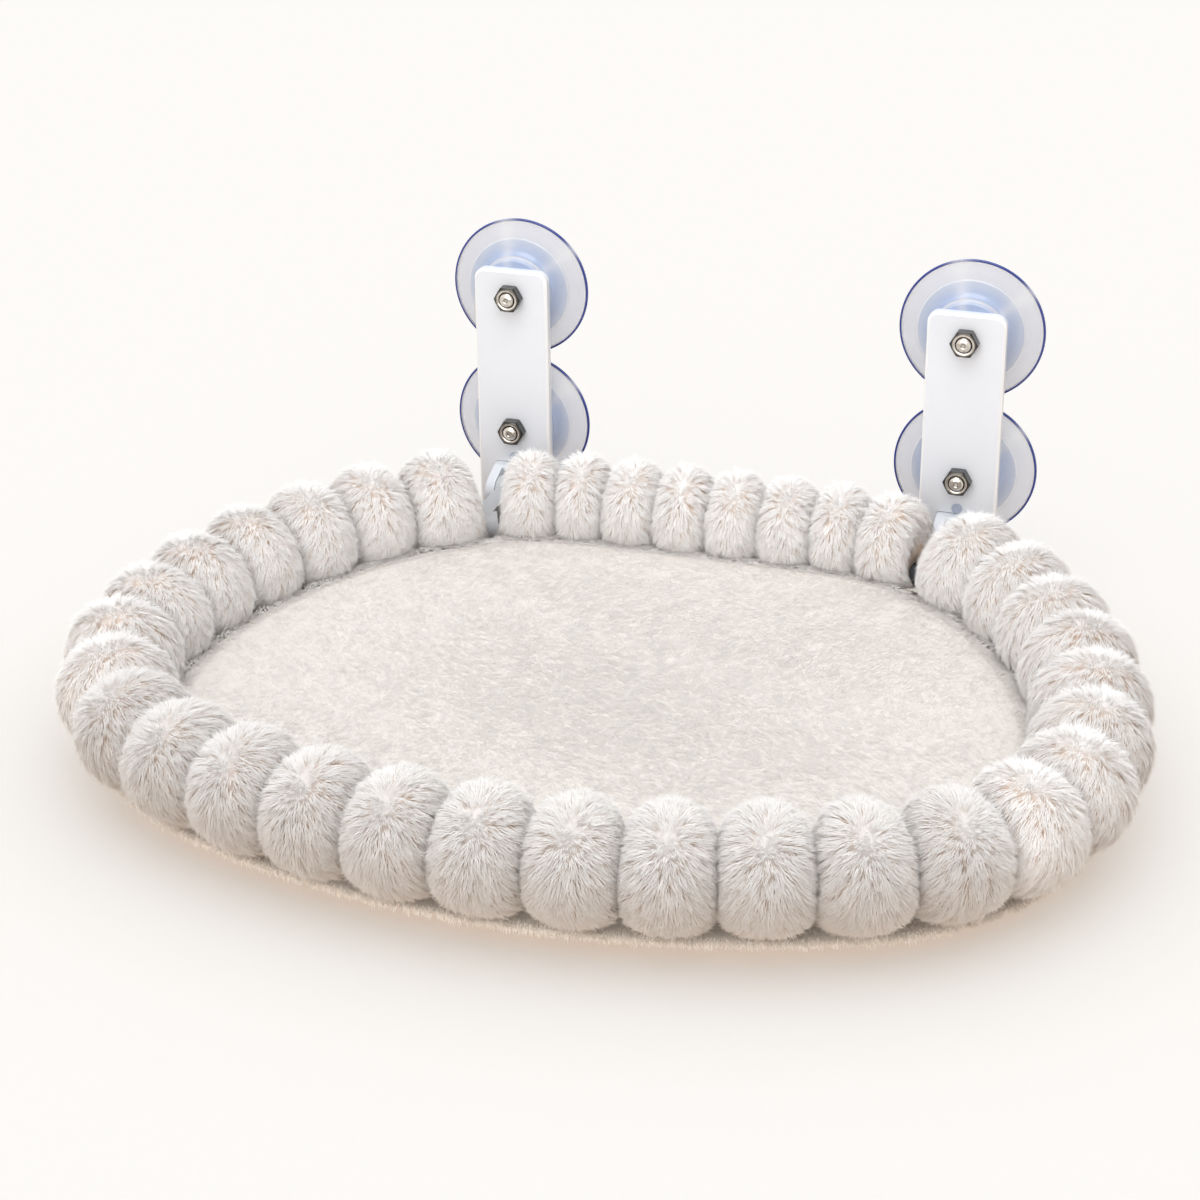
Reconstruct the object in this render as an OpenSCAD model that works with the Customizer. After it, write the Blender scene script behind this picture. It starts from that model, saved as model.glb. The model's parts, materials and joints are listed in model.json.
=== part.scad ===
// Window mounted cat perch: two suction cup brackets carry a padded ring that folds up.
// Millimetres, +Z up. The window is the plane y = 0 and the perch reaches out along -Y.
// The origin lies on the window, halfway between the two lower suction cups.

/* [Window brackets] */
// Distance between the middles of the two brackets
bracket_pitch = 248; // [230:1:290]
// Distance between the upper and the lower cup of a bracket
cup_pitch = 77.2; // [77:0.1:100]
// Width of a bracket plate
plate_w = 41.2; // [38:0.1:50]
// Thickness of a bracket plate over its rim
plate_t = 5.5; // [4.5:0.1:7]
// Thickness of the plate's front wall
plate_wall = 2.5; // [1.5:0.1:3]
// Thickness of the plate's side walls and ribs
plate_rib = 2.2; // [1.4:0.1:3]
// Radius of the plate's corners
plate_corner_r = 6; // [4:0.5:9]
// Bevel along the plate's front edge
plate_bevel = 1.2; // [0.4:0.1:1.8]
// How far the plate stands above its upper cup's centre
plate_above = 14.5; // [12:0.5:30]
// How far the plate hangs below its lower cup's centre
plate_below = 58; // [57:0.5:70]

/* [Suction cups] */
// Radius of a suction cup at its lip
cup_r = 38.4; // [36:0.1:38.4]
// Height of a cup from the window to the plate
cup_h = 13; // [12:0.5:18]
// Radius of the step between the soft lip and the firm cone
cup_step_r = 28.5; // [26:0.1:32]
// Height of the cup at that step
cup_step_h = 4.6; // [4:0.1:6]
// Radius of the cup's hub where it meets the plate
cup_hub_r = 18.5; // [15:0.1:20]
// Thickness of the lip at its edge
cup_lip_t = 1.3; // [0.8:0.1:2]
// Width of the flat land that seals on the window
cup_land = 1.8; // [1:0.1:3]
// Depth of the vacuum hollow
cup_hollow_h = 3.4; // [2:0.1:3.6]

/* [Studs and nuts] */
// Diameter of the stud in each cup
stud_d = 8; // [6:0.5:10]
// Diameter of the stud's moulded in head
stud_head_d = 20; // [16:0.5:24]
// Thickness of that head
stud_head_t = 3; // [2:0.1:3.5]
// How far the stud stands out of its nut
stud_proud = 0.8; // [0.2:0.1:1.2]
// Width of a nut across its flats
nut_af = 13; // [12:0.5:14]
// Height of a nut
nut_h = 6.5; // [4:0.1:6.8]

/* [Hinges] */
// Diameter of a hinge pin
pin_d = 5; // [4:0.1:6]
// Distance of the pin from the plate's front
hinge_reach = 12.5; // [12:0.1:16]
// Depth of the pin below the lower cup's centre
hinge_drop = 33; // [32:0.5:36]
// Radius of the arm's knuckle
knuckle_r = 9.5; // [8:0.1:9.8]
// Radius of an ear of the clevis round the pin
ear_r = 10; // [9:0.1:11]
// Thickness of an ear
ear_t = 5; // [3:0.1:6]
// Thickness of the clevis's base on the plate
clevis_base_t = 2.2; // [1.5:0.1:2.4]
// How far the clevis's hood stands out from the plate
hood_reach = 6.5; // [4:0.1:7]
// Thickness of the hood over the knuckle
hood_t = 3.2; // [2:0.1:4]
// Height of the clevis's rear flange above the hood
flange_above = 6.5; // [5:0.1:8]
// Diameter of a rivet's shank
rivet_d = 4; // [3:0.1:4.5]

/* [Arms] */
// Width of an arm
arm_w = 9.2; // [7:0.1:11]
// Height of the arm's web above the pin
arm_above = 4.4; // [2:0.1:4.6]
// Depth of the arm's web below the pin
arm_below = 8; // [6:0.1:9]
// Depth of the heel below the pin
heel_drop = 22; // [20:0.5:23]
// Diameter of the rubber pad in the heel
pad_d = 6.6; // [5:0.1:7]
// Depth of the hollow in each side of the arm
arm_hollow = 1.6; // [0.5:0.1:2.2]

/* [Frame tube] */
// Outer diameter of the frame tube
tube_d = 12; // [10:0.5:13]
// Wall of the frame tube
tube_wall = 1.2; // [0.8:0.1:1.6]
// Depth of the tube's centre below the hinge pin
tube_drop = 3; // [2.5:0.1:6]
// Distance from the window to the rear rail's centre
rail_out = 55; // [54:0.5:70]
// Half of the rail's straight length
rail_half = 58; // [40:1:70]
// Radius of the two rear bends
rear_bend_r = 148; // [140:1:170]
// Angle of a rear bend
rear_bend = 51; // [48:1:54]
// Radius of the side bends
side_bend_r = 250; // [220:1:280]
// Angle of a side bend
side_bend = 38; // [36:1:40]
// Radius of the two front corners
nose_bend_r = 122; // [110:1:135]
// Angle of a front corner
nose_bend = 68; // [66:1:70]
// Diameter of a spring pin in the frame
spring_pin_d = 2.5; // [2:0.1:3]
// Length of the spigots and of the front sleeve inside the tube
spigot_l = 14; // [10:0.5:18]

/* [Bolster] */
// Radius of a lobe at the front and the sides, over its fur
lobe_r = 29; // [25:0.5:31]
// Radius of a lobe at the back, over its fur
back_lobe_r = 26; // [22:0.5:28]
// Radius of the seam between two lobes
seam_r = 18; // [17.5:0.5:20]
// Height of the lobes' middle above the tube's centre
lobe_rise = 14.5; // [13:0.5:16]
// Height of the seams' middle above the tube's centre
seam_rise = 8; // [7:0.5:9]
// Number of lobes between the arms
back_lobes = 8; // [6:1:9]
// Number of lobes round the front
front_lobes = 27; // [25:2:29]

/* [Seat] */
// Depth of the seat's top edge below the lobes' middle
seat_below = 12; // [9:0.5:13]
// How far the seat sags in the middle
seat_sag = 7; // [3:0.5:9]
// Thickness of the plush seat cover
seat_cover_t = 3.5; // [2:0.1:4]
// Thickness of the wadding under it
wadding_t = 4; // [3:0.1:5]
// Thickness of the lower cover
under_t = 2.5; // [1.5:0.1:4]
// How far the lower cover reaches past the tube's centre line
under_out = 9; // [6:0.5:12]
// Length of the zip under the rear edge
zip_l = 190; // [120:1:220]
// Width of the zip's tape
zip_w = 26; // [20:0.5:32]

/* [Hidden] */

$fn = 72;
// Clearances: between pieces, in a running fit, in a fixed fit and between soft pieces
clear = 0.3;
run_fit = 0.08;
fixed_fit = 0.05;
soft_gap = 0.4;
// Half of the hairline between two lengths of one tube
butt_gap = 0.02;
// Overrun of a cut past the face that it opens
over = 1;
deg = PI / 180;

// Places of the brackets, the plate and the hinge, as distances from the window and heights
arm_x = bracket_pitch / 2;
plate_back = cup_h;
plate_front = plate_back + plate_t;
plate_inside = plate_front - plate_wall;
pin_out = plate_front + hinge_reach;
pin_z = -hinge_drop;
tube_z = pin_z - tube_drop;
tube_r = tube_d / 2;
tube_bore_r = tube_r - tube_wall;
// Web between the cup's hollow and the stud's head
stud_cover = 1.6;
stud_head_out = cup_hollow_h + stud_cover;
// Boss round each stud behind the plate, and the bore through it
stud_boss_r = stud_d / 2 + plate_rib + clear;
stud_hole_r = stud_d / 2 + fixed_fit;

// Clevis: half widths, top and bottom, and the rivets' places
ear_in = arm_w / 2 + clear;
ear_out = ear_in + ear_t;
hood_bottom = pin_z + knuckle_r + 2 * clear;
hood_top = hood_bottom + hood_t;
clevis_bottom = pin_z - ear_r;
rivet_head_r = rivet_d * 0.75;
rivet_head_t = rivet_d / 4;
rivet_dome = rivet_head_t / 2;
flange_t = plate_t - plate_wall - rivet_dome - clear;
flange_top = hood_top + flange_above;
flange_bottom = clevis_bottom - flange_above;
flange_half = ear_out + rivet_d + plate_rib;
top_rivet_z = hood_top + rivet_head_r;
side_rivet_x = ear_out + rivet_d;
side_rivet_z = pin_z - ear_r / 2;

// Pin head, retaining clip and its groove
pin_head_r = pin_d * 0.8;
pin_head_t = pin_d / 3;
clip_t = pin_d / 5;
clip_r = pin_d * 0.85;
groove_r = pin_d * 0.42;
pin_tail = 3 * clip_t;

// Junction of the arm and the frame: its half length along the tube, which grows towards
// the rail that meets the arm at a slant, and its radius
joint_half = arm_w / 2 + clear;
joint_r = tube_r + 1.5 * tube_wall;
spigot_r = tube_bore_r - fixed_fit;
pad_proud = hinge_reach - knuckle_r - clear;
pad_seat = pad_d / 3;
pad_z = pin_z - heel_drop + pad_d / 2 + clear;

// Directions along the ring at a heading, which turns clockwise from +X seen from above
function along(h) = [cos(h), -sin(h)];
function inward(h) = [-sin(h), -cos(h)];

// Centres of the ring's bends on the right, each tangent to the last, closed at the front
heading_1 = rear_bend;
heading_2 = heading_1 + side_bend;
heading_3 = heading_2 + nose_bend;
rail_end = [rail_half, -rail_out];
rear_centre = rail_end + rear_bend_r * inward(0);
side_start = rear_centre - rear_bend_r * inward(heading_1);
side_centre = side_start + side_bend_r * inward(heading_1);
nose_start = side_centre - side_bend_r * inward(heading_2);
nose_centre = nose_start + nose_bend_r * inward(heading_2);
front_start = nose_centre - nose_bend_r * inward(heading_3);
front_r = front_start[0] / sin(heading_3);
front_centre = front_start + front_r * inward(heading_3);

// Distances along the ring from the rear middle to the end of each bend
reach_1 = rail_half + rear_bend_r * rear_bend * deg;
reach_2 = reach_1 + side_bend_r * side_bend * deg;
reach_3 = reach_2 + nose_bend_r * nose_bend * deg;
half_ring = reach_3 + front_r * (180 - heading_3) * deg;

// Place and heading, [x, y, heading], at a distance along the ring from the rear middle
function bend_spot(centre, r, h) = concat(centre - r * inward(h), [h]);
function right_spot(s) =
    s <= rail_half ? [s, -rail_out, 0]
    : s <= reach_1 ? bend_spot(rear_centre, rear_bend_r, (s - rail_half) / rear_bend_r / deg)
    : s <= reach_2 ? bend_spot(side_centre, side_bend_r, heading_1 + (s - reach_1) / side_bend_r / deg)
    : s <= reach_3 ? bend_spot(nose_centre, nose_bend_r, heading_2 + (s - reach_2) / nose_bend_r / deg)
    : bend_spot(front_centre, front_r, heading_3 + (s - reach_3) / front_r / deg);
function ring_spot(s) =
    s < 0 ? let (q = right_spot(-s)) [-q[0], q[1], -q[2]]
    : s > half_ring ? let (q = right_spot(2 * half_ring - s)) [-q[0], q[1], 360 - q[2]]
    : right_spot(s);

// The arm meets the ring in the rear bend, where the bend crosses the arm's plane
arm_heading = asin((arm_x - rail_half) / rear_bend_r);
arm_reach = rail_half + rear_bend_r * arm_heading * deg;
arm_spot = right_spot(arm_reach);
rail_joint = joint_half + tube_r * sin(arm_heading);
joint_turn = joint_half / rear_bend_r / deg;
rail_turn = rail_joint / rear_bend_r / deg;
spigot_turn = spigot_l / rear_bend_r / deg;
front_turn = spigot_l / front_r / deg;

// Lobes: where each run starts, its pitch, and the radius of the channel round the tube
back_skew = seam_r * sin(arm_heading);
back_end = arm_reach - joint_half - back_skew;
back_pitch = 2 * back_end / back_lobes;
front_begin = arm_reach + joint_half + soft_gap;
front_pitch = 2 * (half_ring - front_begin) / front_lobes;
lobe_sides = 12;
lobe_bow = front_pitch * front_pitch / 32 / nose_bend_r;
channel_r = (tube_r + clear + lobe_bow) / cos(180 / lobe_sides);
lobe_z = tube_z + lobe_rise;
seam_z = tube_z + seam_rise;
// Shares of a lobe's length and of its swelling from seam to middle
lobe_length_shares = [0, 0.13, 0.5, 0.87, 1];
lobe_swell_shares = [0, 0.78, 1, 0.78, 0];
rear_side_lobes = 3;
side_lobes = 5;

// Seat: its top edge, its outline inside the lobes, and the covers below it
seat_z = lobe_z - seat_below;
seat_edge_z = seat_z - seat_cover_t / 2;
function lobe_inset(r) = sqrt(r * r - pow(lobe_z - seat_edge_z, 2)) + soft_gap;
seat_points = 48;
seat_ring_shares = [1, 0.82, 0.6, 0.36, 0.14];
wadding_ring_shares = [0.97, 0.66, 0.3];
wadding_z = seat_z - seat_cover_t - 2 * clear;
under_z = lobe_z - lobe_r * cos(180 / lobe_sides) - clear;
zip_t = 1.2;
zip_y = -(rail_out + back_lobe_r + zip_w / 2);
slider_l = zip_w / 2;
slider_w = zip_w / 4;
slider_t = 1.6 * zip_t;
slider_tab_t = 0.8 * zip_t;
seat_middle_y = -(rail_out - front_centre[1] + front_r) / 2;

// Turns a child drawn flat on the window, x across, y up and z away from it
module on_window() rotate([90, 0, 0]) children();

// Draws a side profile, x away from the window and y up, as a slab of a width across x
module across(x, w) {
    translate([x - w / 2, 0, 0]) rotate([90, 0, 270]) mirror([0, 0, 1]) linear_extrude(w) children();
}

// Points of a curve from p to q, drawn towards m
function bow(p, m, q, n) =
    [for (i = [0:n]) let (t = i / n) (1 - t) * (1 - t) * p + 2 * t * (1 - t) * m + t * t * q];

// Where a line from p touches a circle about c, on the side given by 1 or -1
function touch_point(p, c, r, side) =
    let (d = norm(p - c), a = atan2(p[1] - c[1], p[0] - c[0]) + side * acos(r / d))
    c + r * [cos(a), sin(a)];

// Rounded rectangle between two corners
module round_rect(low, high, r) {
    translate([low[0] + r, low[1]]) square([high[0] - low[0] - 2 * r, high[1] - low[1]]);
    translate([low[0], low[1] + r]) square([high[0] - low[0], high[1] - low[1] - 2 * r]);
    for (x = [low[0] + r, high[0] - r], y = [low[1] + r, high[1] - r]) translate([x, y]) circle(r);
}

// Soft cup with a sealing land, a thin lip, a firm cone and a hub round the stud's head
module suction_cup(x, z) {
    hub_foot_r = cup_hub_r + 2 * cup_lip_t;
    hub_foot_h = cup_h - (cup_h - cup_step_h) / 2;
    step_t = cup_lip_t / 2;
    lip = [cup_r, cup_lip_t];
    step_low = [cup_step_r, cup_step_h];
    step_high = [cup_step_r - step_t, cup_step_h + step_t];
    hollow_edge = [cup_r - cup_land, 0];
    hollow_deep = [cup_hub_r, cup_hollow_h];
    profile = concat(
        [[0, cup_hollow_h]],
        bow(hollow_deep, [cup_step_r, cup_hollow_h - cup_lip_t], hollow_edge, 6),
        [[cup_r, 0]],
        bow(lip, [(cup_r + cup_step_r) / 2, cup_step_h - cup_lip_t / 2], step_low, 6),
        bow(step_high, [hub_foot_r + step_t, cup_step_h + cup_lip_t], [hub_foot_r, hub_foot_h], 6),
        bow([cup_hub_r, hub_foot_h + step_t], [cup_hub_r, cup_h], [cup_hub_r - cup_lip_t, cup_h], 4),
        [[0, cup_h]]);
    color([0.72, 0.78, 0.92, 0.6]) translate([x, 0, z]) on_window() difference() {
        rotate_extrude() polygon(profile);
        translate([0, 0, stud_head_out])
            cylinder(h = stud_head_t + fixed_fit, d = stud_head_d + 2 * fixed_fit);
        translate([0, 0, stud_head_out]) cylinder(h = cup_h, r = stud_hole_r);
    }
}

// Threaded stud with a broad head and a chamfered end
module stud() {
    end_out = plate_front + nut_h + stud_proud;
    chamfer = stud_d / 10;
    translate([0, 0, stud_head_out]) cylinder(h = stud_head_t, d = stud_head_d);
    translate([0, 0, stud_head_out]) cylinder(h = end_out - chamfer - stud_head_out, d = stud_d);
    translate([0, 0, end_out - chamfer]) cylinder(h = chamfer, d1 = stud_d, d2 = stud_d - 2 * chamfer);
}

// Hexagon nut with its corners turned down at both ends
module nut() {
    corner_r = nut_af / 2 / cos(30);
    turned = corner_r - nut_af / 2;
    turned_h = turned / 2;
    flat_r = nut_af / 2 - turned / 4;
    translate([0, 0, plate_front]) difference() {
        intersection() {
            cylinder(h = nut_h, r = corner_r, $fn = 6);
            rotate_extrude() polygon([[0, 0], [flat_r, 0], [corner_r, turned_h],
                [corner_r, nut_h - turned_h], [flat_r, nut_h], [0, nut_h]]);
        }
        translate([0, 0, -over]) cylinder(h = nut_h + 2 * over, r = stud_hole_r);
    }
}

module each_cup() {
    for (x = [-arm_x, arm_x], z = [0, cup_pitch]) translate([x, 0, z]) on_window() children();
}

module cup_studs() color([0.66, 0.65, 0.62]) each_cup() stud();

module hex_nuts() color([0.66, 0.64, 0.6]) each_cup() nut();

// Solid of the plate: rounded corners and a bevel all round the front edge
module plate_blank() {
    low = [-plate_w / 2, -plate_below];
    high = [plate_w / 2, cup_pitch + plate_above];
    r = plate_corner_r;
    b = plate_bevel;
    wide = high[0] - low[0];
    tall = high[1] - low[1];
    shoulder = plate_t - b;
    translate([low[0], low[1] + r, 0]) rotate([90, 0, 0]) mirror([0, 0, 1]) linear_extrude(tall - 2 * r)
        polygon([[0, 0], [wide, 0], [wide, shoulder], [wide - b, plate_t], [b, plate_t], [0, shoulder]]);
    translate([low[0] + r, low[1], 0]) rotate([90, 0, 90]) linear_extrude(wide - 2 * r)
        polygon([[0, 0], [tall, 0], [tall, shoulder], [tall - b, plate_t], [b, plate_t], [0, shoulder]]);
    for (x = [low[0] + r, high[0] - r], y = [low[1] + r, high[1] - r]) translate([x, y, 0]) {
        cylinder(h = shoulder, r = r);
        translate([0, 0, shoulder]) cylinder(h = b, r1 = r, r2 = r - b);
    }
}

// Hollow behind the plate's front wall, which leaves its rim, ribs and stud bosses
module plate_hollow() {
    inner_r = plate_corner_r - plate_rib / 2;
    half = plate_w / 2 - plate_rib;
    top = cup_pitch + plate_above - plate_rib;
    depth = plate_t - plate_wall;
    difference() {
        translate([0, 0, -over]) linear_extrude(depth + over)
            round_rect([-half, -plate_below + plate_rib], [half, top], inner_r);
        for (z = [0, cup_pitch]) translate([0, z, -2 * over])
            cylinder(h = depth + 3 * over, r = stud_boss_r);
        translate([-plate_rib / 2, 0, -2 * over]) cube([plate_rib, cup_pitch, depth + 3 * over]);
        for (share = [1 / 3, 2 / 3])
            translate([-half - over, cup_pitch * share - plate_rib / 2, -2 * over])
                cube([2 * (half + over), plate_rib, depth + 3 * over]);
    }
}

module at_rivets() {
    translate([0, top_rivet_z, 0]) children();
    for (x = [-side_rivet_x, side_rivet_x]) translate([x, side_rivet_z, 0]) children();
}

// Moulded bracket plate on its two cups
module bracket_plate(x) {
    color([0.89, 0.9, 0.91]) translate([x, 0, 0]) on_window() difference() {
        translate([0, 0, plate_back]) plate_blank();
        translate([0, 0, plate_back]) plate_hollow();
        for (z = [0, cup_pitch]) translate([0, z, 0]) cylinder(h = plate_front + over, r = stud_hole_r);
        translate([-ear_out - clear, clevis_bottom - clear, plate_back])
            cube([2 * (ear_out + clear), hood_top - clevis_bottom + 2 * clear, plate_t + over]);
        at_rivets() cylinder(h = plate_front + over, r = rivet_d / 2 + fixed_fit);
    }
}

// Side profile of an ear: flat on the plate, rounded over the hood and round the pin
module ear_profile() {
    pin = [pin_out, pin_z];
    round_r = hood_t / 2;
    hood = [plate_front + hood_reach - round_r, hood_top - round_r];
    hood_touch = hood + round_r * [cos(60), sin(60)];
    top = touch_point(hood_touch, pin, ear_r, -1);
    translate(pin) circle(ear_r);
    translate(hood) circle(round_r);
    polygon([[plate_inside, clevis_bottom], [pin_out, clevis_bottom], pin, top, hood_touch,
        [hood[0], hood_top], [plate_inside, hood_top]]);
}

// Side profile of the hood and the base between the ears
module hood_profile() {
    round_r = hood_t / 2;
    hood = [plate_front + hood_reach - round_r, hood_top - round_r];
    translate(hood) circle(round_r);
    translate([plate_inside, hood_bottom]) square([hood[0] - plate_inside, hood_top - hood_bottom]);
    translate([plate_inside, clevis_bottom])
        square([plate_wall + clevis_base_t, hood_top - clevis_bottom]);
}

// Clevis: two ears and a hood in front of the plate, and a riveted flange behind its wall
module hinge_clevis(x) {
    color([0.82, 0.86, 0.92]) difference() {
        union() {
            for (side = [-1, 1]) across(x + side * (ear_in + ear_t / 2), ear_t) ear_profile();
            across(x, 2 * ear_in) hood_profile();
            translate([x, 0, 0]) on_window() translate([0, 0, plate_inside - flange_t])
                linear_extrude(flange_t)
                    round_rect([-flange_half, flange_bottom], [flange_half, flange_top], rivet_d / 2);
        }
        across(x, 2 * (ear_out + over)) translate([pin_out, pin_z]) circle(pin_d / 2 + fixed_fit);
        translate([x, 0, 0]) on_window() at_rivets() cylinder(h = plate_front, r = rivet_d / 2 + fixed_fit);
    }
}

// Rivets that hold each clevis to its plate, with low heads in front and behind
module hinge_rivets() {
    back = plate_inside - flange_t;
    color([0.62, 0.64, 0.67]) for (x = [-arm_x, arm_x]) translate([x, 0, 0]) on_window() at_rivets() {
        translate([0, 0, back - rivet_dome]) cylinder(h = rivet_dome, r = rivet_head_r);
        translate([0, 0, back]) cylinder(h = plate_front - back, d = rivet_d);
        translate([0, 0, plate_front])
            cylinder(h = rivet_head_t, r1 = rivet_head_r, r2 = rivet_head_r - rivet_dome);
    }
}

// Hinge pin with a head on the outer side and a groove for its clip on the inner side
module hinge_pin(x) {
    side = sign(x);
    color([0.7, 0.7, 0.7]) translate([x, -pin_out, pin_z]) rotate([0, side * 90, 0]) difference() {
        union() {
            translate([0, 0, -ear_out - pin_tail]) cylinder(h = 2 * ear_out + pin_tail, d = pin_d);
            translate([0, 0, ear_out])
                cylinder(h = pin_head_t, r1 = pin_head_r, r2 = pin_head_r - pin_head_t / 3);
        }
        translate([0, 0, -ear_out - clip_t - clear]) difference() {
            cylinder(h = clip_t + clear, r = pin_d);
            cylinder(h = clip_t + clear, r = groove_r);
        }
    }
}

// Retaining clips that snap into the pins' grooves
module pin_clips() {
    jaw_w = pin_d / 2;
    color([0.5, 0.5, 0.52]) for (side = [-1, 1])
        translate([side * arm_x, -pin_out, pin_z]) rotate([0, side * 90, 0])
            translate([0, 0, -ear_out - clip_t - clear / 2]) linear_extrude(clip_t) difference() {
                circle(clip_r);
                circle(groove_r + fixed_fit);
                translate([0, -jaw_w / 2]) square([clip_r + over, jaw_w]);
            }
}

// Side profile of the arm between the knuckle and the frame, with an arched top edge
module web_profile(inset) {
    out = -arm_spot[1];
    top = pin_z + arm_above - inset;
    low = pin_z - arm_below + inset;
    start = pin_out + inset;
    polygon(concat(
        bow([start, top], [(start + out) / 2, top + tube_drop / 2], [out, tube_z + joint_r - inset], 6),
        bow([out, tube_z - joint_r + inset], [(start + out) / 2, low + tube_drop], [start, low], 6)));
}

// Side profile of the heel that stops the arm on the plate
module heel_profile() {
    heel_t = knuckle_r + arm_above;
    toe_r = heel_t / 4;
    back = pin_out - knuckle_r;
    low = pin_z - heel_drop;
    translate([back + toe_r, low + toe_r]) circle(toe_r);
    translate([back + heel_t / 2, low + toe_r]) circle(toe_r);
    polygon([[back, pin_z], [back, low + toe_r], [back + toe_r, low + toe_r], [back + toe_r, low],
        [back + heel_t / 2, low], [back + heel_t / 2 + toe_r, low + toe_r],
        [pin_out + knuckle_r, pin_z - arm_below], [pin_out + knuckle_r, pin_z]]);
}

// Part of a bend of the right half of the ring, between two headings
module bend(centre, r, from, to) {
    translate([centre[0], centre[1], tube_z]) rotate([0, 0, 90 - to])
        rotate_extrude(angle = to - from) translate([r, 0]) children();
}

module rear_bend_piece(from, to, r) {
    bend(rear_centre, rear_bend_r, arm_heading + from, arm_heading + to) circle(r);
}

module spring_pin_hole(h, r) {
    spot = rear_centre - rear_bend_r * inward(h);
    translate([spot[0], spot[1], tube_z - tube_r - over]) cylinder(h = tube_d + 2 * over, r = r);
}

// Arm of the right hand side: knuckle, web, heel, and spigots for the two frame tubes
module arm() {
    pad_back = plate_front + clear;
    half_spigot = spigot_turn / 2;
    color([0.72, 0.74, 0.77]) difference() {
        union() {
            across(arm_x, arm_w) translate([pin_out, pin_z]) circle(knuckle_r);
            across(arm_x, arm_w) web_profile(0);
            across(arm_x, arm_w) heel_profile();
            rear_bend_piece(-rail_turn, joint_turn, joint_r);
            rear_bend_piece(-rail_turn - spigot_turn, joint_turn + spigot_turn, spigot_r);
        }
        across(arm_x, arm_w + 2 * over) translate([pin_out, pin_z]) circle(pin_d / 2 + run_fit);
        for (side = [-1, 1]) across(arm_x + side * (arm_w / 2), 2 * arm_hollow) difference() {
            web_profile(plate_rib);
            translate([pin_out, pin_z]) circle(knuckle_r + clear);
            translate([-arm_spot[1], tube_z]) circle(joint_r);
        }
        translate([arm_x, -pad_back - pad_proud - pad_seat, pad_z]) rotate([270, 0, 0])
            cylinder(h = pad_seat + over, r = pad_d / 2 + fixed_fit);
        for (h = [-rail_turn - half_spigot, joint_turn + half_spigot])
            spring_pin_hole(arm_heading + h, spring_pin_d / 2 + fixed_fit);
    }
}

// Rubber pads in the heels, with a rounded face towards the plate
module heel_pads() {
    pad_back = plate_front + clear;
    edge = pad_proud / 2;
    color([0.2, 0.2, 0.22]) for (x = [-arm_x, arm_x])
        translate([x, -pad_back - pad_proud - pad_seat, pad_z]) rotate([270, 0, 0]) {
            cylinder(h = pad_seat + pad_proud - edge, d = pad_d);
            translate([0, 0, pad_seat + pad_proud - edge]) cylinder(h = edge, d1 = pad_d, d2 = pad_d - edge);
        }
}

module tube_ring() {
    difference() {
        circle(tube_r);
        circle(tube_bore_r);
    }
}

// One bent length of tube, with its ends trimmed to butt against the next
module bend_tube(centre, r, from, to) {
    trim = butt_gap / r / deg;
    bend(centre, r, from + trim, to - trim) tube_ring();
}

// Ring inside the tube's wall that makes one piece of two lengths of tube
module wall_joint(spot) {
    skin = tube_wall / 4;
    translate([spot[0], spot[1], tube_z]) rotate([90, 0, 90 - spot[2]])
        linear_extrude(tube_d / 3, center = true) difference() {
            circle(tube_r - skin);
            circle(tube_bore_r + skin);
        }
}

module both_sides() {
    children();
    mirror([1, 0, 0]) children();
}

// Tube across the back between the two arms
module rear_rail() {
    end = arm_heading - rail_turn;
    color([0.78, 0.79, 0.8]) difference() {
        union() {
            translate([0, -rail_out, tube_z]) rotate([90, 0, 90])
                linear_extrude(2 * (rail_half - butt_gap), center = true) tube_ring();
            both_sides() bend_tube(rear_centre, rear_bend_r, 0, end);
            both_sides() wall_joint(right_spot(rail_half));
        }
        both_sides() spring_pin_hole(end - spigot_turn / 2, spring_pin_d / 2 + fixed_fit);
    }
}

// Right half of the tube round the front
module hoop() {
    start = arm_heading + joint_turn;
    color([0.78, 0.79, 0.8]) difference() {
        union() {
            bend_tube(rear_centre, rear_bend_r, start, heading_1);
            bend_tube(side_centre, side_bend_r, heading_1, heading_2);
            bend_tube(nose_centre, nose_bend_r, heading_2, heading_3);
            bend_tube(front_centre, front_r, heading_3, 180);
            for (s = [reach_1, reach_2, reach_3]) wall_joint(right_spot(s));
        }
        spring_pin_hole(start + spigot_turn / 2, spring_pin_d / 2 + fixed_fit);
        front_pin_hole(spring_pin_d / 2 + fixed_fit);
    }
}

module front_pin_hole(r) {
    spot = front_centre - front_r * inward(180 - front_turn / 2);
    translate([spot[0], spot[1], tube_z - tube_r - over]) cylinder(h = tube_d + 2 * over, r = r);
}

// Sleeve that joins the two hoop halves at the front
module hoop_sleeve() {
    color([0.7, 0.7, 0.72]) difference() {
        bend(front_centre, front_r, 180 - front_turn, 180 + front_turn) circle(spigot_r);
        both_sides() front_pin_hole(spring_pin_d / 2 + fixed_fit);
    }
}

// Upright pins that lock the tubes on the spigots and the sleeve
module spring_pins() {
    half_spigot = spigot_turn / 2;
    pin_h = 2 * (tube_r - tube_wall / 2);
    front_spot = front_centre - front_r * inward(180 - front_turn / 2);
    color([0.45, 0.45, 0.47]) both_sides() {
        for (h = [-rail_turn - half_spigot, joint_turn + half_spigot]) {
            spot = rear_centre - rear_bend_r * inward(arm_heading + h);
            translate([spot[0], spot[1], tube_z - pin_h / 2]) cylinder(h = pin_h, d = spring_pin_d);
        }
        translate([front_spot[0], front_spot[1], tube_z - pin_h / 2]) cylinder(h = pin_h, d = spring_pin_d);
    }
}

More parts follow.
